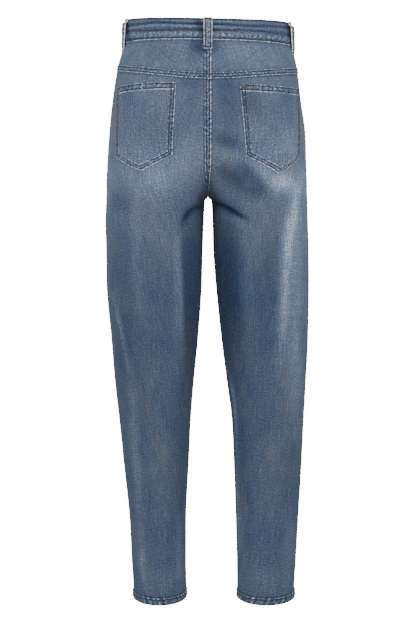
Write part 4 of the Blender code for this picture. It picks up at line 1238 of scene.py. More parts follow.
def loop_places(leg, face, centre_arc, drops, offsets, out):
    """Points and normals over a belt loop, moved out from the band and panel under it by its profile."""
    level_length = cached_row(leg, face, LOOP_LEVEL).length
    drop, offset = np.meshgrid(drops, offsets, indexing="ij")
    base = np.where(drop < WAISTBAND_SEAM + 3.0, BAND_PROUD, 0.0)
    if face > 0 and centre_arc == 0.0:
        base = np.maximum(base, FELL_RAISE)
    lengths = np.array([cached_row(leg, face, max(one, WAISTBAND_TOP)).length for one in drops])
    arc = (centre_arc * lengths / level_length)[:, None] + offset
    points, normals = np.zeros((*drop.shape, 3)), np.zeros((*drop.shape, 3))
    other = "right" if leg == "left" else "left"
    for side, here in ((leg, arc >= 0), (other, arc < 0)):
        arcs, level = np.maximum(np.abs(arc[here]), HALF_GAP), drop[here]
        angle = level_angles(side, face, arcs, np.maximum(level, WAISTBAND_TOP))
        dip = WAISTBAND_TOP_DIP * np.sin(angle) ** 2 * smoothstep(WAISTBAND_SEAM, WAISTBAND_TOP, level)
        angle = level_angles(side, face, arcs, level + dip)
        normal = section_normal(side, angle, level + dip)
        curl = LOOP_CURL * (offset / LOOP_WIDTH * 2) ** 2 * LOOP_STAND(drop) / LOOP_STAND(12.0)
        away = (base + LOOP_STAND(drop) + out - curl * (centre_arc > 0))[here]
        points[here] = to_frame(side, section_point(side, angle, level + dip) + normal * away[:, None])
        normal[:, 0] *= LEG_SIGN[side]
        normals[here] = normal
    return points, normals


def make_belt_loop(name, leg, face, centre_arc):
    """A belt loop with turned edges, standing off the band between its two sewn feet."""
    half = LOOP_WIDTH / 2
    offsets = np.array([-half, -half + 0.4, -half + 1.0, -half + 1.9, -half + 2.8, -half + 3.8, -1.6, 1.6,
                        half - 3.8, half - 2.8, half - 1.9, half - 1.0, half - 0.4, half])
    drops = np.array(lines_between(LOOP_PROFILE[0][0], LOOP_PROFILE[-1][0], 1.1 / DETAIL))
    edge = half - np.abs(offsets)
    ends = np.minimum(drops - drops[0], drops[-1] - drops)
    outer, _ = loop_places(leg, face, centre_arc, drops, offsets, LOOP_THICK)
    inner, _ = loop_places(leg, face, centre_arc, drops, offsets, 0.0)
    fall = rounded(np.minimum(edge[None, :], ends[:, None]), 0.8)
    thick = (outer - inner) / LOOP_THICK
    wave = pucker(drops[:, None] + 0.4 * offsets[None, :], 21.0 + centre_arc)
    dark = line(np.abs(offsets), half - LOOP_ROW, 0.7)[None, :]
    outer = outer + thick * (0.18 * wave - 0.2 * dark - fall)[..., None]
    inner = inner + thick * (0.5 * fall)[..., None]
    # Pale worn edges, and the two stitch rows dark for the brown thread with painted shade in their grooves.
    wear = 0.70 + 0.20 * wave - 0.70 * dark + 0.55 * line(edge, 0.3, 0.9)[None, :]
    foot = drops[-1] - drops[:, None]
    head = drops[:, None] - drops[0]
    wear = wear + 0.75 * line(foot, 0.2, 1.0) - 0.6 * line(foot, 3.0, 1.3) + 0.30 * line(head, 0.4, 0.8)
    wear = wear + 0.10 * line(drops[:, None], 8.0, 4.0)
    grid = np.meshgrid(offsets, drops)
    piece = cloth_shell(name + "_denim", outer, inner, wear, (grid[0], grid[1]), 0.9)
    return dress(piece, name, denim())


# Fly, zip and button

def front_cloth(arcs, drops, out):
    """Points and normals by the centre front, where arcs below zero are on the wearer's right."""
    arcs, drops = np.asarray(arcs, float), np.asarray(drops, float)
    out = np.broadcast_to(out, arcs.shape)
    points, normals = np.zeros((*arcs.shape, 3)), np.zeros((*arcs.shape, 3))
    for side, here in (("left", arcs >= 0), ("right", arcs < 0)):
        if here.any():
            angle = level_angles(side, -1, np.maximum(np.abs(arcs[here]), HALF_GAP), drops[here])
            cloth = Cloth(side, -1, angle, drops[here])
            points[here], normals[here] = cloth.points(out[here]), cloth.normals()
    return points, normals


def front_strip(arcs, shares, ends, raise_of):
    """Points of a strip across the centre front, from top to foot at each arc."""
    arcs, shares = np.meshgrid(arcs, shares)
    top, foot = ends(arcs)
    down = shares * (foot - top)
    return front_cloth(arcs, top + down, raise_of(arcs, down, foot - top - down))[0]


def fly_ends(arc):
    """Top and foot of the fly flap at an arc, whose foot curves in to the seam."""
    share = np.clip(arc / (FLY_WIDTH + 2.0), 0.0, 1.0)
    return WAISTBAND_SEAM + SEAM_GAP, FLY_STRAIGHT_END + FLY_CURVE_DROP * np.sqrt(1.0 - share ** 2)


def fly_edge(arc, foot):
    """Distance from the flap's sewn edge, down its outer side and round its foot."""
    return np.minimum(FLY_WIDTH - arc, foot * 0.9)


def make_fly():
    """The fly flap, with its free edge at the centre front and its sewn edge curving in below."""
    near = np.array([0.0, 0.7, 1.4, 2.2, 3.0, 4.2])
    arcs = np.concatenate([near - FLY_LAP, lines_between(5.8 - FLY_LAP, FLY_WIDTH - 6.0, 1.8),
                           FLY_WIDTH - near[::-1]])
    shares = np.linspace(0.0, 1.0, int(74 * DETAIL))
    low = FELL_RAISE + LAY_GAP

    def outer_raise(arc, down, foot):
        edge = np.minimum(np.minimum(arc + FLY_LAP, FLY_WIDTH - arc), np.minimum(foot, down + 2.0))
        stitched = line(fly_edge(arc, foot), FLY_ROWS[0], 0.8)
        return low + FLY_THICK + 0.18 * pucker(down, 31.0) - 0.2 * stitched - rounded(edge, 0.6)

    outer = front_strip(arcs, shares, fly_ends, outer_raise)
    inner = front_strip(arcs, shares, fly_ends, lambda arc, down, foot: low)
    arc, share = np.meshgrid(arcs, shares)
    top, foot = fly_ends(arc)
    drop = top + share * (foot - top)
    edge = fly_edge(arc, foot - drop)
    wear = PLAIN_WEAR(drop) + 0.12 * pucker(drop, 31.0) + 0.5 * line(edge, 0.2, 0.8)
    # The stitch row is dark for the brown thread, with painted shade in its sunken groove.
    wear = wear - 0.6 * line(edge, FLY_ROWS[0], 0.8) + 0.5 * line(arc + FLY_LAP, 0.2, 0.8)
    piece = cloth_shell("fly_flap_denim", outer, inner, wear, (arc, drop))
    return dress(piece, "fly_flap", denim())


def make_zip():
    """The closed zip behind the centre front: a tape with two rows of teeth."""
    def ends(_):
        return WAISTBAND_SEAM + BAND_THICK, ZIP_END

    arcs = np.array(lines_between(-ZIP_HALF_WIDTH, ZIP_HALF_WIDTH, 1.0))
    shares = np.linspace(0.0, 1.0, 60)
    near, far = -CLOTH - LAY_GAP, -CLOTH - LAY_GAP - ZIP_THICK
    chain = front_strip(arcs, shares, ends, lambda arc, down, foot: near)
    back = front_strip(arcs, shares, ends, lambda arc, down, foot: far + 0.35 * (abs(arc) > 4.0))
    tape = link("zip_tape_cloth", np.concatenate([chain.reshape(-1, 3), back.reshape(-1, 3)]),
                grid_faces(*chain.shape[:2]))
    fix_outward(tape)
    dress(tape, "zip",
          kept_material("woven_tape", tape_material, bpy.context.scene.jeans_denim.tape))
    top, foot = ends(0)
    points, faces = [], []
    for k, drop in enumerate(np.linspace(top + 1.0, foot - 1.0, ZIP_TEETH)):
        middle = 0.2 if k % 2 else -0.2
        arcs = middle + np.array([-1.5, 1.5, 1.5, -1.5])
        drops = drop + np.array([-0.38, -0.38, 0.38, 0.38])
        base = len(points)
        points += list(front_cloth(arcs, drops, far - 0.05)[0]) + list(front_cloth(arcs, drops, far - 1.1)[0])
        faces += [tuple(base + i for i in quad) for quad in
                  ((0, 1, 2, 3), (7, 6, 5, 4), (0, 4, 5, 1), (1, 5, 6, 2), (2, 6, 7, 3), (3, 7, 4, 0))]
    teeth = link("zip_teeth", points, faces, 30.0)
    fix_outward(teeth)
    return dress(teeth, None, brass())


def fix_outward(piece):
    """Turns a closed mesh's faces outwards."""
    mesh = piece.data
    volume = 0.0
    for polygon in mesh.polygons:
        corners = [mesh.vertices[i].co for i in polygon.vertices]
        for i in range(1, len(corners) - 1):
            volume += corners[0].dot(corners[i].cross(corners[i + 1]))
    if volume < 0:
        mesh.flip_normals()


def brass():
    """The button's metal."""
    colours = bpy.context.scene.jeans_denim
    return kept_material("aged_brass", metal_material, colours.metal, colours.metal_rubbed)


def make_button():
    """The shank button, turned round the band's own normal, with a plain ring and a beaded rim."""
    angle = level_angle("left", -1, BUTTON_ARC, BUTTON_DROP)
    cloth = Cloth("left", -1, np.array([angle]), np.array([BUTTON_DROP]))
    foot = cloth.points(np.array([BAND_PROUD + SEAM_GAP]))[0]
    axis = cloth.normals()[0]
    side = np.cross(axis, (0.0, 0.0, 1.0))
    side /= np.linalg.norm(side)
    up = np.cross(side, axis)
    turns = BUTTON_TURNS
    points, faces = [], []
    for radius, height in BUTTON_PROFILE:
        for k in range(turns):
            turn = 2 * math.pi * k / turns
            on_rim = BUTTON_RIM[0] < radius < BUTTON_RIM[1] and height > BUTTON_RIM_HEIGHT
            bead = BEAD_RISE * math.cos(BEADS * turn) if on_rim else 0.0
            points.append(foot + axis * (height + bead)
                          + max(radius, 0.02) * (math.cos(turn) * side + math.sin(turn) * up))
    for ring in range(len(BUTTON_PROFILE) - 1):
        for k in range(turns):
            after = (k + 1) % turns
            low, high = ring * turns, (ring + 1) * turns
            faces.append((low + k, low + after, high + after, high + k))
    faces.append(tuple(range(turns))[::-1])
    faces.append(tuple((len(BUTTON_PROFILE) - 1) * turns + k for k in range(turns)))
    piece = link("waist_button_metal", points, faces, 35.0)
    fix_outward(piece)
    return dress(piece, "button", brass())


# Stitching

class Sewing:
    """Collects stitches, each a short bowed tube of thread whose ends sink into the cloth."""

    SIDES = 5
    RINGS = ((-0.50, -0.25, 0.35), (-0.30, 0.30, 1.0), (0.0, 0.42, 1.0), (0.30, 0.30, 1.0),
             (0.50, -0.25, 0.35))

    def __init__(self):
        self.points, self.faces = [], []

    def stitch(self, start, end, normal, thick):
        """One stitch between two points of the cloth."""
        run = end - start
        length = np.linalg.norm(run)
        run = run / length
        side = np.cross(normal, run)
        side /= np.linalg.norm(side)
        base = len(self.points)
        for along, rise, size in self.RINGS:
            centre = (start + end) / 2 + run * (along * length) + normal * (rise * thick * 2)
            for k in range(self.SIDES):
                turn = 2 * math.pi * k / self.SIDES
                ring = side * math.cos(turn) + normal * math.sin(turn)
                self.points.append(centre + ring * (thick * size))
        for ring in range(len(self.RINGS) - 1):
            for k in range(self.SIDES):
                after = (k + 1) % self.SIDES
                low, high = base + ring * self.SIDES, base + (ring + 1) * self.SIDES
                self.faces.append((low + k, high + k, high + after, low + after))
        self.faces.append(tuple(base + k for k in range(self.SIDES)))
        last = base + (len(self.RINGS) - 1) * self.SIDES
        self.faces.append(tuple(last + k for k in range(self.SIDES))[::-1])

    def row(self, points, normals, thick=None, pitch=None):
        """A row of stitches along a path."""
        thread = bpy.context.scene.jeans_thread
        pitch = thread.pitch / MM if pitch is None else pitch
        thick = thread.radius / MM if thick is None else thick
        steps = np.linalg.norm(np.diff(points, axis=0), axis=1)
        arc = np.concatenate([[0.0], np.cumsum(steps)])
        count = max(1, int(arc[-1] / pitch))
        pitch = arc[-1] / count
        gap = thread.gap / MM
        for k in range(count):
            ends = [k * pitch + gap / 2, (k + 1) * pitch - gap / 2]
            start, end = (np.array([np.interp(at, arc, points[:, i]) for i in range(3)]) for at in ends)
            normal = np.array([np.interp(sum(ends) / 2, arc, normals[:, i]) for i in range(3)])
            self.stitch(start, end, normal / np.linalg.norm(normal), thick)

    def tack(self, start, end, normal, width, thick=0.42, count=16):
        """A bartack: close stitches across a short bar."""
        run = end - start
        across = np.cross(normal, run / np.linalg.norm(run))
        for k in range(count):
            middle = start + run * ((k + 0.5) / count)
            lean = run / np.linalg.norm(run) * (0.25 if k % 2 else -0.25)
            self.stitch(middle - across * width / 2 - lean + normal * 0.12,
                        middle + across * width / 2 + lean + normal * 0.12, normal, thick)

    def make(self, name, material):
        """The joined stitches as one piece."""
        piece = link(name, self.points, self.faces, 80.0)
        fix_outward(piece)
        return dress(piece, None, material)


def thread():
    """Brown topstitching thread."""
    colours = bpy.context.scene.jeans_thread
    return kept_material("brown_thread", thread_material, colours.brown, colours.brown_dark)


def rust_thread():
    """Rust thread of the bartacks."""
    colours = bpy.context.scene.jeans_thread
    return kept_material("rust_thread", thread_material, colours.rust, colours.rust_dark)


def level_path(leg, face, kind, levels, arcs):
    """Points and normals of a path over a panel."""
    cloth = spot(leg, face, kind, levels, arcs)
    return cloth.points(), cloth.normals()


def sew_seat():
    """Rows along the centre back, the yoke and the centre front."""
    work = Sewing()
    for leg in ("left", "right"):
        for kind, top, foot in (("yoke", WAISTBAND_SEAM + 1.0, YOKE_SEAM - 0.5),
                                ("back", YOKE_SEAM + 0.5, CROTCH - 4.0)):
            levels = np.array(lines_between(top, foot, 2.0))
            work.row(*level_path(leg, 1, kind, levels, FELL_WIDTH - FELL_ROW))
        length = cached_row(leg, 1, YOKE_SEAM).length
        arcs = np.array(lines_between(0.6, length - 0.8, 2.0))
        for down in (YOKE_TOP_ROW, YOKE_FELL_HEIGHT - YOKE_LOW_ROW):
            work.row(*level_path(leg, 1, "back", YOKE_SEAM + down, arcs))
        levels = np.array(lines_between(FLY_STRAIGHT_END + FLY_CURVE_DROP + 1.0, CROTCH - 4.0, 2.0))
        work.row(*level_path(leg, -1, "front", levels, FELL_WIDTH - FELL_ROW))
    return work.make("seat_and_yoke_stitches", thread())


def sew_mouths():
    """Double rows along the front pocket mouths."""
    work = Sewing()
    for leg in ("left", "right"):
        for inset in MOUTH_ROWS:
            turn = np.linspace(0.02, 0.5 * np.pi - 0.06, 60)
            arc_side = (MOUTH_ACROSS + inset) * np.cos(turn)
            levels = WAISTBAND_SEAM + (MOUTH_DROP + inset) * np.sin(turn)
            keep = arc_side > 2.0
            levels, arc_side = levels[keep], arc_side[keep]
            lengths = np.array([cached_row(leg, -1, level).length for level in levels])
            work.row(*level_path(leg, -1, "front", levels, lengths - arc_side))
    return work.make("pocket_mouth_stitches", thread())


def sew_hems():
    """One row round each hem."""
    work = Sewing()
    for leg in ("left", "right"):
        for face, kind in ((1, "back"), (-1, "front")):
            level = HEM - HEM_HEIGHT + FELL_ROW
            arcs = np.array(lines_between(0.6, cached_row(leg, face, level).length - 0.6, 2.0))
            work.row(*level_path(leg, face, kind, level, arcs))
    return work.make("hem_stitches", thread())


def pocket_line(leg, inset, top_inset):
    """Shares of a path down one side of the pocket, round its foot and up the other side."""
    corner = POCKET_CORNERS[leg]
    width = corner["top_outer"][0] - corner["top_inner"][0]
    height = corner["low_inner"][1] - corner["top_inner"][1]
    tip = (corner["tip"][0] - corner["low_inner"][0]) / (corner["low_outer"][0] - corner["low_inner"][0])
    low = 1.0 - inset / (0.90 * height)
    tip_low = 1.0 - inset / (0.90 * (height + corner["tip"][1] - corner["low_inner"][1]))
    side = inset / width
    knots = ((side, top_inset / height), (side, low), (tip, tip_low), (1.0 - side, low),
             (1.0 - side, top_inset / height))
    shares, downs = [], []
    for (a, b), (c, d) in zip(knots[:-1], knots[1:]):
        count = 50
        shares += list(np.linspace(a, c, count)[:-1])
        downs += list(np.linspace(b, d, count)[:-1])
    return np.array(shares + [knots[-1][0]]), np.array(downs + [knots[-1][1]])


def sew_pockets():
    """Double rows round the back pockets and across their hems."""
    work = Sewing()
    for leg in ("left", "right"):
        corner = POCKET_CORNERS[leg]
        height = corner["low_inner"][1] - corner["top_inner"][1]
        paths = [pocket_line(leg, POCKET_ROW, 1.5), pocket_line(leg, POCKET_INNER_ROW, POCKET_HEM + 1.0)]
        for down in (POCKET_ROW, POCKET_HEM - POCKET_HEM_ROW):
            shares = np.linspace(0.012, 0.988, 60)
            paths.append((shares, np.full(60, down / height)))
        for shares, downs in paths:
            cloth = pocket_cloth(leg, shares, downs)
            work.row(cloth.points(), cloth.normals())
    return work.make("back_pocket_stitches", thread())


def sew_band():
    """Rows along the waistband's top and foot."""
    work = Sewing()
    around = ring_length()
    along = np.array(lines_between(BAND_STEP_END + 4.0, around + BAND_OVERLAP - 1.6, 2.0))
    for level in (WAISTBAND_TOP + BAND_TOP_ROW, WAISTBAND_SEAM - BAND_FOOT_ROW):
        place, normal, height, _, sink, _, _ = band_places(along, np.array([level]))
        points = place + normal * (BAND_PROUD + height - sink)[..., None]
        work.row(tilt(points)[0], normal[0])
    return work.make("waistband_stitches", thread())


def sew_loops():
    """Two rows down each belt loop, and a bar at its foot."""
    work = Sewing()
    for _, leg, face, centre_arc in LOOPS:
        drops = np.array(lines_between(LOOP_PROFILE[0][0] + 0.8, LOOP_PROFILE[-1][0] - 0.8, 1.2))
        inset = LOOP_WIDTH / 2 - LOOP_ROW
        points, normals = loop_places(leg, face, centre_arc, drops, [-inset, inset], LOOP_THICK - 0.1)
        for k in (0, 1):
            work.row(points[:, k], normals[:, k], pitch=2.6)
        for drop in (LOOP_PROFILE[0][0] + 2.2, LOOP_PROFILE[-1][0] - 3.0):
            ends, end_normals = loop_places(leg, face, centre_arc, [drop], [-5.6, 5.6], LOOP_THICK)
            work.tack(ends[0][0], ends[0][1], end_normals[0][0], 1.5, 0.30, 18)
    return work.make("belt_loop_stitches", thread())


def sew_fly():
    """The fly's curved double row."""
    work = Sewing()
    low = FELL_RAISE + LAY_GAP + FLY_THICK
    for inset in FLY_ROWS:
        turn = np.linspace(0.0, 0.5 * np.pi, 40)
        arcs = np.concatenate([np.ones(40), np.cos(turn)]) * (FLY_WIDTH - inset)
        drops = np.concatenate([np.linspace(WAISTBAND_SEAM + 1.5, FLY_STRAIGHT_END - 0.5, 40),
                                FLY_STRAIGHT_END + (FLY_CURVE_DROP - inset) * np.sin(turn)])
        work.row(*front_cloth(np.maximum(arcs, 0.3), drops, low))
    return work.make("fly_stitches", thread())


def sew_tacks():
    """Rust bartacks at the pockets' corners, the fly's foot and one spot on the waistband seam."""
    work = Sewing()
    for leg in ("left", "right"):
        for share, span in ((0.030, 0.036), (0.974, -0.030)):
            shares = np.array([share - span / 2, share + span / 2])
            cloth = pocket_cloth(leg, np.clip(shares, 0.008, 0.992), np.array([0.030, 0.030]))
            ends = cloth.points(0.1)
            work.tack(ends[0], ends[1], cloth.normals()[0], 1.7 if span > 0 else 1.3, 0.34)
    foot = FLY_STRAIGHT_END + FLY_CURVE_DROP
    ends, normals = front_cloth([6.0, 6.0], [foot - 10.0, foot - 3.0], FELL_RAISE + LAY_GAP + FLY_THICK)
    work.tack(ends[0], ends[1], normals[0], 2.0)
    behind = sum(cached_row("right", face, WAISTBAND_SEAM - HALF_GAP).length for face in (1, -1))
    along = behind - np.array([28.0, 23.5])
    place, normal, height, _, sink, _, _ = band_places(along, np.array([WAISTBAND_SEAM - 1.6]))
    ends = tilt(place + normal * (BAND_PROUD + height - sink + 0.1)[..., None])[0]
    work.tack(ends[0], ends[1], normal[0][0], 1.6, 0.34, 12)
    return work.make("rust_bartacks", rust_thread())


# Stage

# Columns: name, place, size.
LIGHTS = (
    ("key", (-1.9, 2.9, 0.9), 2.2),
    ("fill", (2.3, 2.5, 0.5), 2.2),
    ("back", (0.0, -2.6, 1.6), 2.6),
    ("top", (0.0, 0.4, 2.2), 2.0),
)


def area_light(name, place, target, size, power):
    """A soft square light aimed at a point, in metres."""
    lamp = bpy.data.lights.new(name, "AREA")
    lamp.shape = "SQUARE"
    lamp.size = size
    lamp.energy = power
    holder = bpy.data.objects.new(name, lamp)
    holder.location = place
    holder.rotation_euler = (Vector(target) - Vector(place)).to_track_quat("-Z", "Y").to_euler()
    bpy.context.scene.collection.objects.link(holder)


def make_stage(settings):
    """A pale floor that sweeps up behind, soft lights and the camera behind the jeans."""
    middle = settings.middle_height
    span, front, depth, rise, bend, steps = 9.0, 6.0, 3.4, 5.0, 1.6, 12
    floor = settings.floor_height
    profile = [(front, floor), (-depth + bend, floor)]
    for k in range(1, steps + 1):
        turn = 0.5 * math.pi * k / steps
        profile.append((-depth + bend - bend * math.sin(turn), floor + bend * (1 - math.cos(turn))))
    profile.append((-depth, floor + rise))
    points = [(side * span / 2, y, z) for y, z in profile for side in (1, -1)]
    faces = [(2 * k, 2 * k + 1, 2 * k + 3, 2 * k + 2) for k in range(len(profile) - 1)]
    sweep = link("pale_floor", np.array(points) / MM, faces)
    pale = Finish("pale_floor").shade({"Base Color": settings.floor_colour, "Roughness": 0.95,
                                       "Emission Color": (1.0, 1.0, 1.0),
                                       "Emission Strength": settings.floor_glow})
    sweep.data.materials.append(pale)
    sweep.visible_diffuse = False
    sweep.visible_glossy = False

    camera = bpy.data.cameras.new("camera")
    camera.lens = settings.lens
    camera.sensor_width = 36.0
    holder = bpy.data.objects.new("camera", camera)
    holder.location = (0.0, settings.camera_distance, middle)
    holder.rotation_euler = (math.radians(90.0), 0.0, math.radians(180.0))
    bpy.context.scene.collection.objects.link(holder)
    bpy.context.scene.camera = holder

    target = (0.0, 0.0, middle)
    for name, place, size in LIGHTS:
        area_light(name + "_light", place, target, size, getattr(settings, name + "_power"))
    world = bpy.data.worlds.new("studio")
    world.use_nodes = True
    world.node_tree.nodes["Background"].inputs["Color"].default_value = (1.0, 1.0, 1.0, 1.0)
    world.node_tree.nodes["Background"].inputs["Strength"].default_value = settings.sky_strength
    bpy.context.scene.world = world


# Settings that a user would change

def length_setting(name, description, default, low, high):
    """A setting that is a length in metres."""
    return FloatProperty(name=name, description=description, default=default, min=low, max=high,
                         unit="LENGTH")


def number_setting(name, description, default, low, high):
    """A setting that is a plain number."""
    return FloatProperty(name=name, description=description, default=default, min=low, max=high)


def colour_setting(name, description, default):
    """A setting that is a colour."""
    return FloatVectorProperty(name=name, description=description, default=default, subtype="COLOR", size=3,
                               min=0.0, max=1.0)


class JeansCut(bpy.types.PropertyGroup):
    """Flat sizes of the cut pieces."""

    back_width: length_setting("Back width", "Widest flat width of a back leg", 0.375, 0.2, 0.6)
    back_length: length_setting("Back length", "Flat length of a back leg with its hem", 0.925, 0.5, 1.2)
    back_area: number_setting("Back area", "Flat area of a back leg in square metres", 0.250, 0.1, 0.5)
    front_width: length_setting("Front width", "Widest flat width of a front leg", 0.310, 0.2, 0.6)
    front_length: length_setting("Front length", "Flat length of a front leg with its hem", 0.955, 0.5, 1.2)
    front_area: number_setting("Front area", "Flat area of a front leg in square metres", 0.215, 0.1, 0.5)
    yoke_width: length_setting("Yoke width", "Flat width of one back yoke", 0.218, 0.1, 0.4)
    yoke_length: length_setting("Yoke height", "Flat height of one back yoke", 0.051, 0.02, 0.12)
    band_length: length_setting("Waistband length", "Flat length of the waistband", 0.835, 0.5, 1.2)
    band_height: length_setting("Waistband height", "Height of the finished waistband", 0.041, 0.02, 0.08)
    pocket_width: length_setting("Pocket width", "Top width of a back pocket", 0.132, 0.08, 0.2)
    pocket_length: length_setting("Pocket length", "Length of a back pocket to its tip", 0.148, 0.08, 0.2)
    pocket_area: number_setting("Pocket area", "Flat area of a back pocket in square metres",
                                0.0168, 0.005, 0.04)
    facing_width: length_setting("Facing width", "Flat width of a pocket facing", 0.066, 0.03, 0.12)
    facing_length: length_setting("Facing length", "Flat length of a pocket facing", 0.084, 0.03, 0.14)
    fly_width: length_setting("Fly width", "Flat width of the fly flap", 0.040, 0.02, 0.08)
    fly_length: length_setting("Fly length", "Flat length of the fly flap", 0.132, 0.08, 0.25)
    loop_length: length_setting("Belt loop length", "Finished length of a belt loop", 0.064, 0.04, 0.09)


class JeansDenim(bpy.types.PropertyGroup):
    """Colours and texture of the denim and the metal."""

    indigo: colour_setting("Indigo", "Unwashed denim", (0.0090, 0.0135, 0.0340))
    # The dark stop also colours the painted shade in the folds' troughs, the creases and between the thighs.
    dark: colour_setting("Dark", "Denim in the hollows", (0.0255, 0.0405, 0.0820))
    mid: colour_setting("Mid", "Washed denim", (0.054, 0.075, 0.119))
    faded: colour_setting("Faded", "Denim faded by the wash", (0.21, 0.28, 0.41))
    pale: colour_setting("Pale", "Lighter denim", (0.104, 0.133, 0.199))
    worn: colour_setting("Worn", "Denim rubbed white on its edges", (0.85, 0.76, 0.73))
    reverse_dark: colour_setting("Reverse dark", "Dark threads of the reverse", (0.070, 0.092, 0.136))
    reverse_pale: colour_setting("Reverse pale", "Pale threads of the reverse", (0.220, 0.250, 0.310))
    tape: colour_setting("Tape", "Zip tape", (0.035, 0.042, 0.055))
    metal: colour_setting("Metal", "Button and zip metal", (0.36, 0.20, 0.10))
    metal_rubbed: colour_setting("Rubbed metal", "Rubbed parts of the metal", (0.70, 0.50, 0.30))
    slub: number_setting("Slub", "Strength of the streaks along the leg", 0.60, 0.0, 2.0)
    rope: number_setting("Rope", "Strength of the puckers in sewn bands", 2.0, 0.0, 5.0)
    cast: number_setting("Cast", "How much the blue changes from place to place", CAST, 0.0, 3.0)
    speckle: number_setting("Speckle", "Strength of the fine speckle", 1.30, 0.0, 3.0)
    mottle: number_setting("Mottle", "Strength of the broad patches of the wash", 0.16, 0.0, 1.0)
    twill: number_setting("Twill", "Strength of the diagonal twill lines", 0.10, 0.0, 1.0)
    twill_scale: number_setting("Twill scale", "Twill lines per millimetre, times pi", 0.32, 0.01, 4.0)
    bump: number_setting("Bump", "Strength of the woven relief", 0.45, 0.0, 1.0)


class JeansThread(bpy.types.PropertyGroup):
    """Sizes and colours of the sewing thread."""

    pitch: length_setting("Pitch", "Length of one stitch with its gap", 0.0031, 0.001, 0.006)
    gap: length_setting("Gap", "Gap between two stitches", 0.0006, 0.0, 0.002)
    radius: length_setting("Radius", "Half the thread's thickness", 0.00046, 0.0001, 0.001)
    brown: colour_setting("Brown", "Topstitching thread", (0.060, 0.034, 0.028))
    brown_dark: colour_setting("Brown dark", "Shaded turns of the thread", (0.018, 0.013, 0.015))
    rust: colour_setting("Rust", "Bartack thread", (0.30, 0.100, 0.036))
    rust_dark: colour_setting("Rust dark", "Shaded turns of the bartack thread", (0.13, 0.046, 0.024))


class JeansStage(bpy.types.PropertyGroup):
    """Camera, floor and lights."""

    camera_distance: length_setting("Camera distance", "From the waist's centre plane", 4.2, 1.0, 20.0)
    middle_height: length_setting("Middle height", "Height of the camera and its aim", -0.496, -3.0, 3.0)
    lens: number_setting("Lens", "Focal length in millimetres", 140.9, 20.0, 400.0)
    floor_height: length_setting("Floor height", "Height of the floor below the waist", -1.22, -3.0, -1.0)
    floor_colour: colour_setting("Floor colour", "Pale floor", (0.95, 0.95, 0.95))
    floor_glow: number_setting("Floor glow", "Light given by the sweep itself", 15.0, 0.0, 40.0)
    key_power: number_setting("Key power", "Watts of the light on the right", 75.0, 0.0, 2000.0)
    fill_power: number_setting("Fill power", "Watts of the light on the left", 60.0, 0.0, 2000.0)
    back_power: number_setting("Back power", "Watts of the light on the far side", 60.0, 0.0, 2000.0)
    top_power: number_setting("Top power", "Watts of the light overhead", 25.0, 0.0, 2000.0)
    sky_strength: number_setting("Sky strength", "Strength of the even light all round", 0.8, 0.0, 5.0)


# Operators

class JEANS_OT_waistband(bpy.types.Operator):
    """Make the waistband"""

    bl_idname = "jeans.waistband"
    bl_label = "Waistband"

    def execute(self, context):
        make_waistband()
        return {"FINISHED"}


class JEANS_OT_legs(bpy.types.Operator):
    """Make the two backs, the two yokes and the two fronts"""

    bl_idname = "jeans.legs"
    bl_label = "Legs and yokes"

    def execute(self, context):
        for leg in ("left", "right"):
            make_yoke(leg)
            make_back(leg)
            make_front(leg)
        return {"FINISHED"}


class JEANS_OT_pockets(bpy.types.Operator):
    """Make the back pockets and the facings of the front pockets"""

    bl_idname = "jeans.pockets"
    bl_label = "Pockets"

    def execute(self, context):
        for leg in ("left", "right"):
            make_back_pocket(leg)
            make_facing(leg)
        return {"FINISHED"}


class JEANS_OT_belt_loops(bpy.types.Operator):
    """Make the five belt loops"""

    bl_idname = "jeans.belt_loops"
    bl_label = "Belt loops"

    def execute(self, context):
        for loop in LOOPS:
            make_belt_loop(*loop)
        return {"FINISHED"}


class JEANS_OT_closure(bpy.types.Operator):
    """Make the fly flap, the zip and the button"""

    bl_idname = "jeans.closure"
    bl_label = "Fly, zip and button"

    def execute(self, context):
        make_fly()
        make_zip()
        make_button()
        return {"FINISHED"}


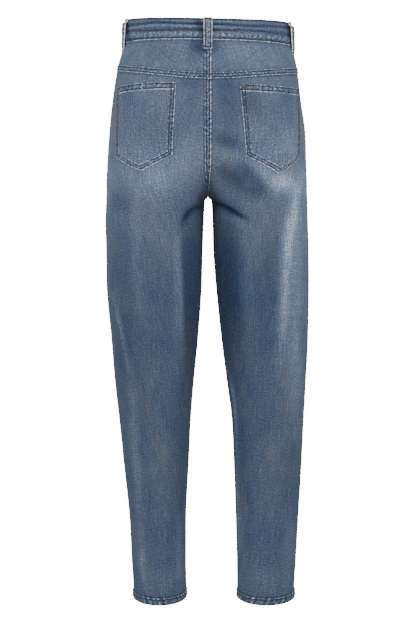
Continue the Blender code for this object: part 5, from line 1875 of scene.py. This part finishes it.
class JEANS_OT_stitching(bpy.types.Operator):
    """Sew every topstitched row and bartack"""

    bl_idname = "jeans.stitching"
    bl_label = "Stitching"

    def execute(self, context):
        for sew in (sew_seat, sew_mouths, sew_hems, sew_pockets, sew_band, sew_loops, sew_fly, sew_tacks):
            sew()
        return {"FINISHED"}


class JEANS_OT_stage(bpy.types.Operator):
    """Set the floor, the lights and the camera"""

    bl_idname = "jeans.stage"
    bl_label = "Stage"

    def execute(self, context):
        make_stage(context.scene.jeans_stage)
        return {"FINISHED"}


OPERATORS = (JEANS_OT_waistband, JEANS_OT_legs, JEANS_OT_pockets, JEANS_OT_belt_loops, JEANS_OT_closure,
             JEANS_OT_stitching, JEANS_OT_stage)
GROUPS = {"jeans_cut": JeansCut, "jeans_denim": JeansDenim, "jeans_thread": JeansThread,
          "jeans_stage": JeansStage}


class JEANS_PT_panel(bpy.types.Panel):
    """Settings and steps of the jeans"""

    bl_label = "Barrel Jeans"
    bl_idname = "JEANS_PT_panel"
    bl_space_type = "VIEW_3D"
    bl_region_type = "UI"
    bl_category = "Jeans"

    def draw(self, context):
        for name, group in GROUPS.items():
            box = self.layout.box()
            for setting in group.__annotations__:
                box.prop(getattr(context.scene, name), setting)
        for operator in OPERATORS:
            self.layout.operator(operator.bl_idname)


def register():
    """Registers the settings, the operators and the panel."""
    for group in GROUPS.values():
        bpy.utils.register_class(group)
    for operator in OPERATORS:
        bpy.utils.register_class(operator)
    bpy.utils.register_class(JEANS_PT_panel)
    for name, group in GROUPS.items():
        setattr(bpy.types.Scene, name, PointerProperty(type=group))


def unregister():
    """Removes what register added."""
    for name in GROUPS:
        delattr(bpy.types.Scene, name)
    for made in (JEANS_PT_panel, *OPERATORS[::-1], *GROUPS.values()):
        bpy.utils.unregister_class(made)


def main():
    """Makes every piece in order."""
    register()
    bpy.ops.jeans.waistband()
    bpy.ops.jeans.legs()
    bpy.ops.jeans.pockets()
    bpy.ops.jeans.belt_loops()
    bpy.ops.jeans.closure()
    bpy.ops.jeans.stitching()
    bpy.ops.jeans.stage()


if __name__ == "__main__":
    main()
